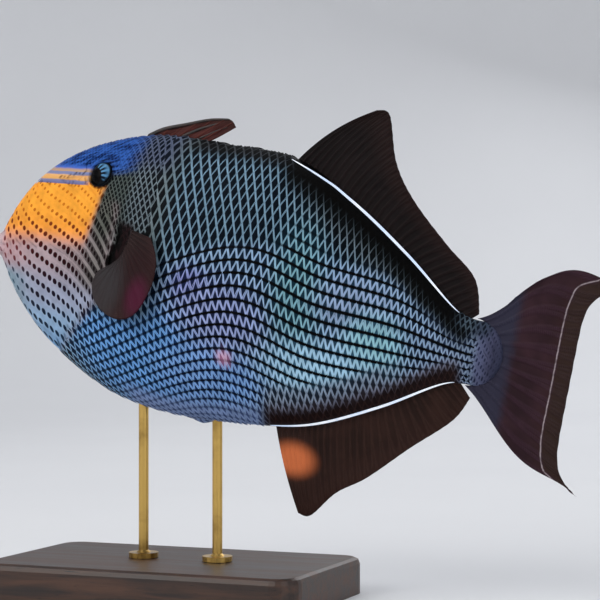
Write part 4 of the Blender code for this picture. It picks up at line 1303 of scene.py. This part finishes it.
def edge_fin(base, tips, bow, upper):
    """The sheet of a fin along the back or the belly."""
    def sheet(u, v):
        """Points of the sheet: u runs along the fin's foot and v outwards."""
        place = base[0] + (base[1] - base[0]) * u
        back, belly, _ = section(place)
        root = np.stack((place, 0 * place, back - ROOT_IN if upper else belly + ROOT_IN), -1)
        tip_rows = smooth_rows(tips, u * (len(tips) - 1))
        tip = np.stack((tip_rows[:, 0], 0 * u, tip_rows[:, 1]), -1)
        ray = tip - root
        out = np.stack((-ray[:, 2], 0 * u, ray[:, 0]), -1)
        out /= np.linalg.norm(out, axis=1, keepdims=True)
        frill = 0.0012 * np.sin(math.pi * (u * 30) * 2) * soft_step(v, 0.8, 1.0)
        wave = 0.004 * v * v * np.sin(math.tau * (1.4 * u + 0.1)) + 0.6 * frill
        point = root + ray * v[:, None] + out * (bow * 4 * v * (1 - v) * (1 - u))[:, None]
        return point + np.stack((0 * u, wave, 0 * u), -1)
    return sheet


def fin_paint(name, web_code, ray_code, edge_code):
    """Dark glossy fin paint: web, rays and a thinner edge that lets some light through."""
    made, tree, shader = new_material(name)
    across, outwards, _ = split(tree, stored(tree, "fan"))
    ridge = stored(tree, "ridge", "Fac")
    stretched = add(tree, "ShaderNodeCombineXYZ", {0: times(tree, across, 420.0),
                                                  1: times(tree, outwards, 9.0)}).outputs[0]
    fibre = noise(tree, 1.0, at=stretched)
    cloud = ramp(tree, noise(tree, 60.0, 5.0), 0.35, 0.7)
    web = blend_colours(tree, cloud, tint(web_code), tint(web_code, 1.9))
    web = blend_colours(tree, ramp(tree, outwards, 0.55, 1.0), web, tint(edge_code))
    ray_mask = times(tree, ridge, ramp(tree, fibre, 0.30, 0.62))
    colour = blend_colours(tree, ray_mask, web, tint(ray_code))
    segments = times(tree, sums(tree, "SINE", times(tree, outwards, 260.0)), ridge)
    fill(tree, shader, {"Base Color": colour, "Roughness": 0.48, "Specular IOR Level": 0.08,
                        "Normal": relief(tree, segments, 0.35, 0.0002)})
    return made, tree, shader, colour


def spot_mask(tree, centre, size, edge):
    """A soft round mask at a place and level on a fin."""
    place, _, level = split(tree, stored(tree, "place"))
    run = sums(tree, "DIVIDE", minus(tree, place, centre[0]), size[0])
    up = sums(tree, "DIVIDE", minus(tree, level, centre[1]), size[1])
    return ramp(tree, distance(tree, run, up), 1.0 + edge, 1.0 - edge)


dark_fin, tree, shader, colour = fin_paint("second_dorsal_paint", "0C0707", "1A1010", "221412")
cast_fin("second_dorsal_web", "second_dorsal_fin", "dark_fin",
         edge_fin(DORSAL_BASE, DORSAL_TIPS, 0.011, True), dark_fin, 373, 56,
         Rays=32.0, Ray_At_Root=0.0019, Ray_At_Edge=0.0008, Web_At_Root=0.0009,
         Web_At_Edge=0.0003, First_Fork=0.25, Second_Fork=0.6, Fork_Spread=0.26)
anal_paint, tree, shader, colour = fin_paint("anal_paint", "20120E", "33201A", "2A1814")
glow = spot_mask(tree, (0.657, -0.266), (0.038, 0.027), 0.55)
colour = blend_colours(tree, times(tree, glow, 0.78), colour, tint("DC7848"))
tree.links.new(colour, shader.inputs["Base Color"])
cast_fin("anal_web", "anal_fin", "dark_fin",
         edge_fin(ANAL_BASE, ANAL_TIPS, -0.004, False), anal_paint, 337, 56,
         Rays=29.0, Ray_At_Root=0.0019, Ray_At_Edge=0.0008, Web_At_Root=0.0009,
         Web_At_Edge=0.0003, First_Fork=0.25, Second_Fork=0.6, Fork_Spread=0.26)


# Pale lines
# A raised blue-white line of enamel runs along the foot of both fins, on either flank. Each is a
# half-round bead laid on the skin, thickest in the middle and drawn out to nothing at its ends.
# The enamel also carries a faint painted glow.

DORSAL_LINE = ((0.556, 0.2545), (0.600, 0.2395), (0.650, 0.2185), (0.700, 0.1925), (0.750, 0.1625),
               (0.800, 0.1305), (0.850, 0.0935), (0.885, 0.0665), (0.910, 0.0500))
ANAL_LINE = ((0.606, -0.2160), (0.650, -0.2085), (0.700, -0.1930), (0.750, -0.1720), (0.800, -0.1425),
             (0.850, -0.1120), (0.900, -0.0800), (0.925, -0.0705))
BEAD_RADIUS = 0.00070

line_tree, line_sockets, given = new_tree("bead", Bead_Radius="Float")
path = add(line_tree, "GeometryNodeMeshToCurve", {"Mesh": given["Geometry"]})
factor = add(line_tree, "GeometryNodeSplineParameter").outputs["Factor"]
taper = sums(line_tree, "POWER", sums(line_tree, "SINE", times(line_tree, factor, math.pi)), 0.42)
wide = times(line_tree, sums(line_tree, "MAXIMUM", taper, 0.05), given["Bead Radius"])
sized = add(line_tree, "GeometryNodeSetCurveRadius", {"Curve": path.outputs["Curve"], "Radius": wide})
round_profile = add(line_tree, "GeometryNodeCurvePrimitiveCircle", {"Resolution": 10, "Radius": 1.0})
swept = add(line_tree, "GeometryNodeCurveToMesh",
            {"Curve": sized.outputs["Curve"], "Profile Curve": round_profile.outputs["Curve"],
             "Fill Caps": True})
if "Scale" in swept.inputs:
    line_tree.links.new(wide, swept.inputs["Scale"])
end_tree(line_tree, given, swept.outputs["Mesh"])

line_paint_and_glow, tree, shader = new_material("pale_line_enamel")
cloud = ramp(tree, noise(tree, 90.0, 4.0), 0.40, 0.62)
# The faint blue-white emission is a painted glow: the pale line gives off light of its own, though it is
# no lamp.
fill(tree, shader, {"Base Color": blend_colours(tree, cloud, tint("F8FBFF"), tint("D2E4FF")),
                    "Roughness": 0.35, "Emission Color": tint("D8E6FF"), "Emission Strength": 0.22})

for name, line in (("dorsal_line", DORSAL_LINE), ("anal_line", ANAL_LINE)):
    for side, side_name in ((-1, "left"), (1, "right")):
        run = smooth_rows(line, np.linspace(0, len(line) - 1, 90))
        back, belly, _ = section(run[:, 0])
        level = np.clip(run[:, 1], belly + 0.004, back - 0.004)
        points = to_world(flank(run[:, 0], level, side) + flank_normal(run[:, 0], level, side) * 0.0002)
        mesh = bpy.data.meshes.new(name)
        mesh.from_pydata(points.tolist(), [(i, i + 1) for i in range(len(points) - 1)], [])
        made = made_by(line_tree, line_sockets, mesh, Bead_Radius=BEAD_RADIUS, Finish=line_paint_and_glow)
        face_out(made, 1e-6, smooth=False)
        set_out(name + "_" + side_name, made, "scaled_skin")


# First dorsal fin
# The locking spines folded back along the head: a stout first spine, two thin ones behind it,
# and a reddish translucent web between them that narrows to the rear.

SPINE_BASE = (0.262, 0.384)
SPINE_EDGE = ((0.262, 0.246), (0.292, 0.265), (0.335, 0.281), (0.380, 0.297), (0.418, 0.304),
              (0.433, 0.292))


def folded_fin(u, v):
    """The sheet of the folded first dorsal fin."""
    place = SPINE_BASE[0] + (SPINE_BASE[1] - SPINE_BASE[0]) * u
    root = np.stack((place, 0 * u, section(place)[0] - 0.004), -1)
    edge_rows = smooth_rows(SPINE_EDGE, u * (len(SPINE_EDGE) - 1))
    edge = np.stack((edge_rows[:, 0], 0 * u, edge_rows[:, 1]), -1)
    point = root + (edge - root) * v[:, None]
    point[:, 1] += 0.0012 * np.sin(u * 22) * np.sin(math.pi * v)
    return point


spine_paint, tree, shader, colour = fin_paint("first_dorsal_paint", "3A1C1A", "5A302A", "341C18")
cast_fin("first_dorsal_web", "first_dorsal_fin", "spined_fin", folded_fin, spine_paint, 121, 24,
         Rays=9.0, Ray_At_Root=0.0014, Ray_At_Edge=0.0010, Web_At_Root=0.0008,
         Web_At_Edge=0.0004, First_Fork=2.0, Second_Fork=3.0, Fork_Spread=0.0)
spine_lines = (
    (np.array([SPINE_EDGE[0]] + list(SPINE_EDGE[1:5])), 0.0012, 0.0005),
    (np.array(((0.330, 0.258), (0.368, 0.280), (0.404, 0.296))), 0.0010, 0.0004),
    (np.array(((0.365, 0.260), (0.390, 0.276), (0.416, 0.290))), 0.0008, 0.0003),
)
shaping = bmesh.new()
for line, thick_root, thick_tip in spine_lines:
    run = smooth_rows(line, np.linspace(0, len(line) - 1, 26))
    before = None
    for k, (place, level) in enumerate(run):
        radius = thick_root + (thick_tip - thick_root) * k / 25
        if k in (0, 25):
            radius *= 0.5
        here = []
        for i in range(14):
            turn = math.tau * i / 14
            point = np.array((place * LENGTH - 0.4 * radius * math.sin(turn), radius * math.cos(turn),
                              level * LENGTH + radius * math.sin(turn)))
            here.append(shaping.verts.new(to_world(point).tolist()))
        if before:
            for i in range(14):
                j = (i + 1) % 14
                shaping.faces.new((before[i], before[j], here[j], here[i]))
        else:
            shaping.faces.new(here)
        before = here
    shaping.faces.new(before[::-1])
bmesh.ops.recalc_face_normals(shaping, faces=shaping.faces)
for face in shaping.faces:
    face.smooth = True
spine_mesh = bpy.data.meshes.new("dorsal_spines")
shaping.to_mesh(spine_mesh)
shaping.free()
spine_bone, tree, shader = new_material("spine_bone")
cloud = noise(tree, 260.0, 4.0)
colour = blend_colours(tree, ramp(tree, cloud, 0.35, 0.68), tint("0E0908"), tint("2E1C18"))
fill(tree, shader, {"Base Color": colour, "Roughness": 0.5, "Normal": relief(tree, cloud, 0.4, 0.0003)})
spine_mesh.materials.append(spine_bone)
set_out("dorsal_spines", spine_mesh, "spined_fin")


# Tail fin
# A crescent web on twelve forked rays, with drawn-out lobes. A thin whitish line follows the
# rear edge a little way in, and the margin beyond it is a clear brown.

TAIL_TOP = (1.208, 0.154)
TAIL_BOTTOM = (1.168, -0.215)
TAIL_NOTCH = 1.118
TAIL_LOBE_POWER = 7.5
TAIL_EDGE_BOW = (0.055, -0.027)
TAIL_EDGE_POWER = 2.5
MARGIN_LINE = ((1.134, 0.150), (1.104, 0.135), (1.094, 0.112), (1.089, 0.070), (1.089, -0.050),
               (1.089, -0.130), (1.099, -0.176), (1.116, -0.191), (1.136, -0.203), (1.164, -0.212))


def tail_sheet(u, v):
    """The sheet of the tail fin, from inside the stem's end to its hollow edge."""
    rise_here = np.cos(math.pi * u)
    root = np.stack((stem_end(rise_here) - 0.004, 0 * u, STEM_MIDDLE + rise_here * STEM_HALF_HEIGHT), -1)
    lobe = np.abs(2 * u - 1) ** TAIL_LOBE_POWER
    reach_here = TAIL_TOP[0] + (TAIL_BOTTOM[0] - TAIL_TOP[0]) * u - TAIL_NOTCH
    edge = np.stack((TAIL_NOTCH + reach_here * lobe, 0 * u,
                     TAIL_TOP[1] + (TAIL_BOTTOM[1] - TAIL_TOP[1]) * u), -1)
    bow = (TAIL_EDGE_BOW[0] + (TAIL_EDGE_BOW[1] - TAIL_EDGE_BOW[0]) * u) * np.abs(2 * u - 1) ** 1.5
    point = root + (edge - root) * v[:, None]
    point[:, 2] += bow * (4 * v * (1 - v)) ** TAIL_EDGE_POWER
    point[:, 1] += 0.010 * v * v + 0.0012 * np.sin(u * 75) * soft_step(v, 0.6, 1.0)
    return point


tail_paint, tree, shader, colour = fin_paint("tail_paint", "26161B", "34202A", "34201F")
tail_fin = cast_fin("tail_web", "caudal_fin", "tail_fin", tail_sheet, tail_paint, 353, 70,
                    Rays=12.0, Ray_At_Root=0.0019, Ray_At_Edge=0.0009, Web_At_Root=0.0010,
                    Web_At_Edge=0.0003, First_Fork=0.12, Second_Fork=0.45, Fork_Spread=0.24)
mesh = tail_fin.data
places = read(mesh, "place")
line = smooth_rows(MARGIN_LINE, np.linspace(0, len(MARGIN_LINE) - 1, 120))
nearest = np.full(len(places), 9.0)
beyond = np.zeros(len(places))
for k in range(len(line) - 1):
    run = line[k + 1] - line[k]
    away = places[:, (0, 2)] - line[k]
    share = np.clip(away @ run / (run @ run), 0, 1)
    gap = np.linalg.norm(away - share[:, None] * run, axis=1)
    side_of = away[:, 1] * run[0] - away[:, 0] * run[1]
    closer = gap < nearest
    nearest = np.where(closer, gap, nearest)
    beyond = np.where(closer, np.sign(side_of), beyond)
store(mesh, "margin", nearest * beyond)
margin, spread_out = stored(tree, "margin", "Fac"), stored(tree, "place")
line_mask = ramp(tree, sums(tree, "ABSOLUTE", margin), 0.0017, 0.0004)
uneven = noise(tree, 90.0, 2.0, spread_out)
line_mask = times(tree, line_mask, ramp(tree, uneven, 0.25, 0.60, 0.35, 1.0))
margin_mask = ramp(tree, margin, 0.0, 0.006)
frayed = plus(tree, split(tree, spread_out)["X"], times(tree, uneven, 0.012))
colour = blend_colours(tree, ramp(tree, frayed, 1.030, 1.008, 0.0, 0.9), colour, tint("2C2C3C"))
colour = blend_colours(tree, times(tree, margin_mask, 0.7), colour, tint("2E221C"))
colour = blend_colours(tree, times(tree, line_mask, 0.75), colour, tint("AC9EA2"))
tree.links.new(colour, shader.inputs["Base Color"])


# Pectoral fins
# Rounded paddles swung down against the flank, their fine rays fanned from a short upright root.
# The rear of the web is a dark wine colour and the front is a plain grey-brown.

PECTORAL_ROOT = ((0.308, 0.080), (0.296, 0.018))
PECTORAL_FAN = ((-8.0, 0.048), (-24.0, 0.080), (-46.0, 0.108), (-69.0, 0.126), (-101.0, 0.094),
                (-146.0, 0.036))
PECTORAL_SPREAD = math.radians(17.0)


def paddle(side):
    """The sheet of a pectoral fin."""
    def sheet(u, v):
        """Points of the sheet: u runs along the fin's foot and v outwards."""
        place = PECTORAL_ROOT[0][0] + (PECTORAL_ROOT[1][0] - PECTORAL_ROOT[0][0]) * u
        level = PECTORAL_ROOT[0][1] + (PECTORAL_ROOT[1][1] - PECTORAL_ROOT[0][1]) * u
        fan_rows = smooth_rows(PECTORAL_FAN, u * (len(PECTORAL_FAN) - 1))
        turn, length = np.radians(fan_rows[:, 0]), fan_rows[:, 1]
        out = v * 1.0
        width = flank_width(place, level) - 0.002 + 0.006 * soft_step(v, 0.0, 0.12)
        away = math.sin(PECTORAL_SPREAD) * length * out * (1.15 - 0.30 * out)
        return np.stack((place + np.cos(turn) * length * out, side * (width + away),
                         level + np.sin(turn) * length * out), -1)
    return sheet


pectoral_paint, tree, shader, colour = fin_paint("pectoral_paint", "1E1414", "382826", "2C1A1A")
for centre, size, edge, strength, code in (
        ((0.350, -0.010), (0.040, 0.070), 0.5, 0.65, "260C10"),
        ((0.285, -0.030), (0.035, 0.060), 0.5, 0.70, "343234"),
        ((0.356, -0.034), (0.020, 0.032), 0.6, 0.50, "581236")):
    spot = times(tree, spot_mask(tree, centre, size, edge), strength)
    colour = blend_colours(tree, spot, colour, tint(code))
tree.links.new(colour, shader.inputs["Base Color"])
for side, side_name in ((-1, "left"), (1, "right")):
    cast_fin("pectoral_web_" + side_name, "pectoral_fin_" + side_name, "pectoral_fin", paddle(side),
             pectoral_paint, 211, 44,
             Rays=15.0, Ray_At_Root=0.0013, Ray_At_Edge=0.0006, Web_At_Root=0.0007,
             Web_At_Edge=0.0003, First_Fork=0.35, Second_Fork=0.7, Fork_Spread=0.24)


# Stand
# A turned and oiled hardwood base with eased edges, and two drawn brass rods with a collar at
# the foot, screwed up into the belly. It carries the model as a museum stand would.

wood, tree, shader = new_material("oiled_wood")
own_axes = add(tree, "ShaderNodeTexCoord").outputs["Object"]
long_grain = add(tree, "ShaderNodeMapping",
                 {"Vector": own_axes, "Scale": (14.0, 160.0, 160.0)}).outputs[0]
grain = noise(tree, 1.0, 6.0, long_grain, Distortion=0.8)
pores = noise(tree, 7.0, 2.0, long_grain)
colour = blend_colours(tree, ramp(tree, grain, 0.30, 0.72), tint("1E120C"), tint("4A2E1E"))
colour = blend_colours(tree, ramp(tree, pores, 0.62, 0.72), colour, tint("140C08"))
fill(tree, shader, {"Base Color": colour, "Roughness": plus(tree, times(tree, grain, 0.25), 0.30),
                    "Normal": relief(tree, pores, 0.2, 0.0003)})

brass, tree, shader = new_material("drawn_brass")
own_axes = add(tree, "ShaderNodeTexCoord").outputs["Object"]
drawn = add(tree, "ShaderNodeMapping", {"Vector": own_axes, "Scale": (1600.0, 1600.0, 30.0)}).outputs[0]
tarnish = ramp(tree, noise(tree, 70.0, 4.0, own_axes), 0.45, 0.75)
shine = plus(tree, times(tree, noise(tree, 1.0, at=drawn), 0.22), 0.20)
fill(tree, shader, {"Base Color": blend_colours(tree, tarnish, tint("C8A45C"), tint("8A6C38")),
                    "Metallic": 1.0, "Roughness": shine})

for name, surface in (("stand_base", wood), ("stand_rod_front", brass), ("stand_rod_rear", brass)):
    node_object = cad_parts[name]
    for slot in node_object.material_slots:
        slot.material = surface
    if not node_object.material_slots:
        node_object.data.materials.append(surface)


# Sizes
# The box of the solids and the box of the finished model, side by side.

made_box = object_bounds()
as_lists = [[[float(n) for n in corner] for corner in box] for box in (cad_box, made_box)]
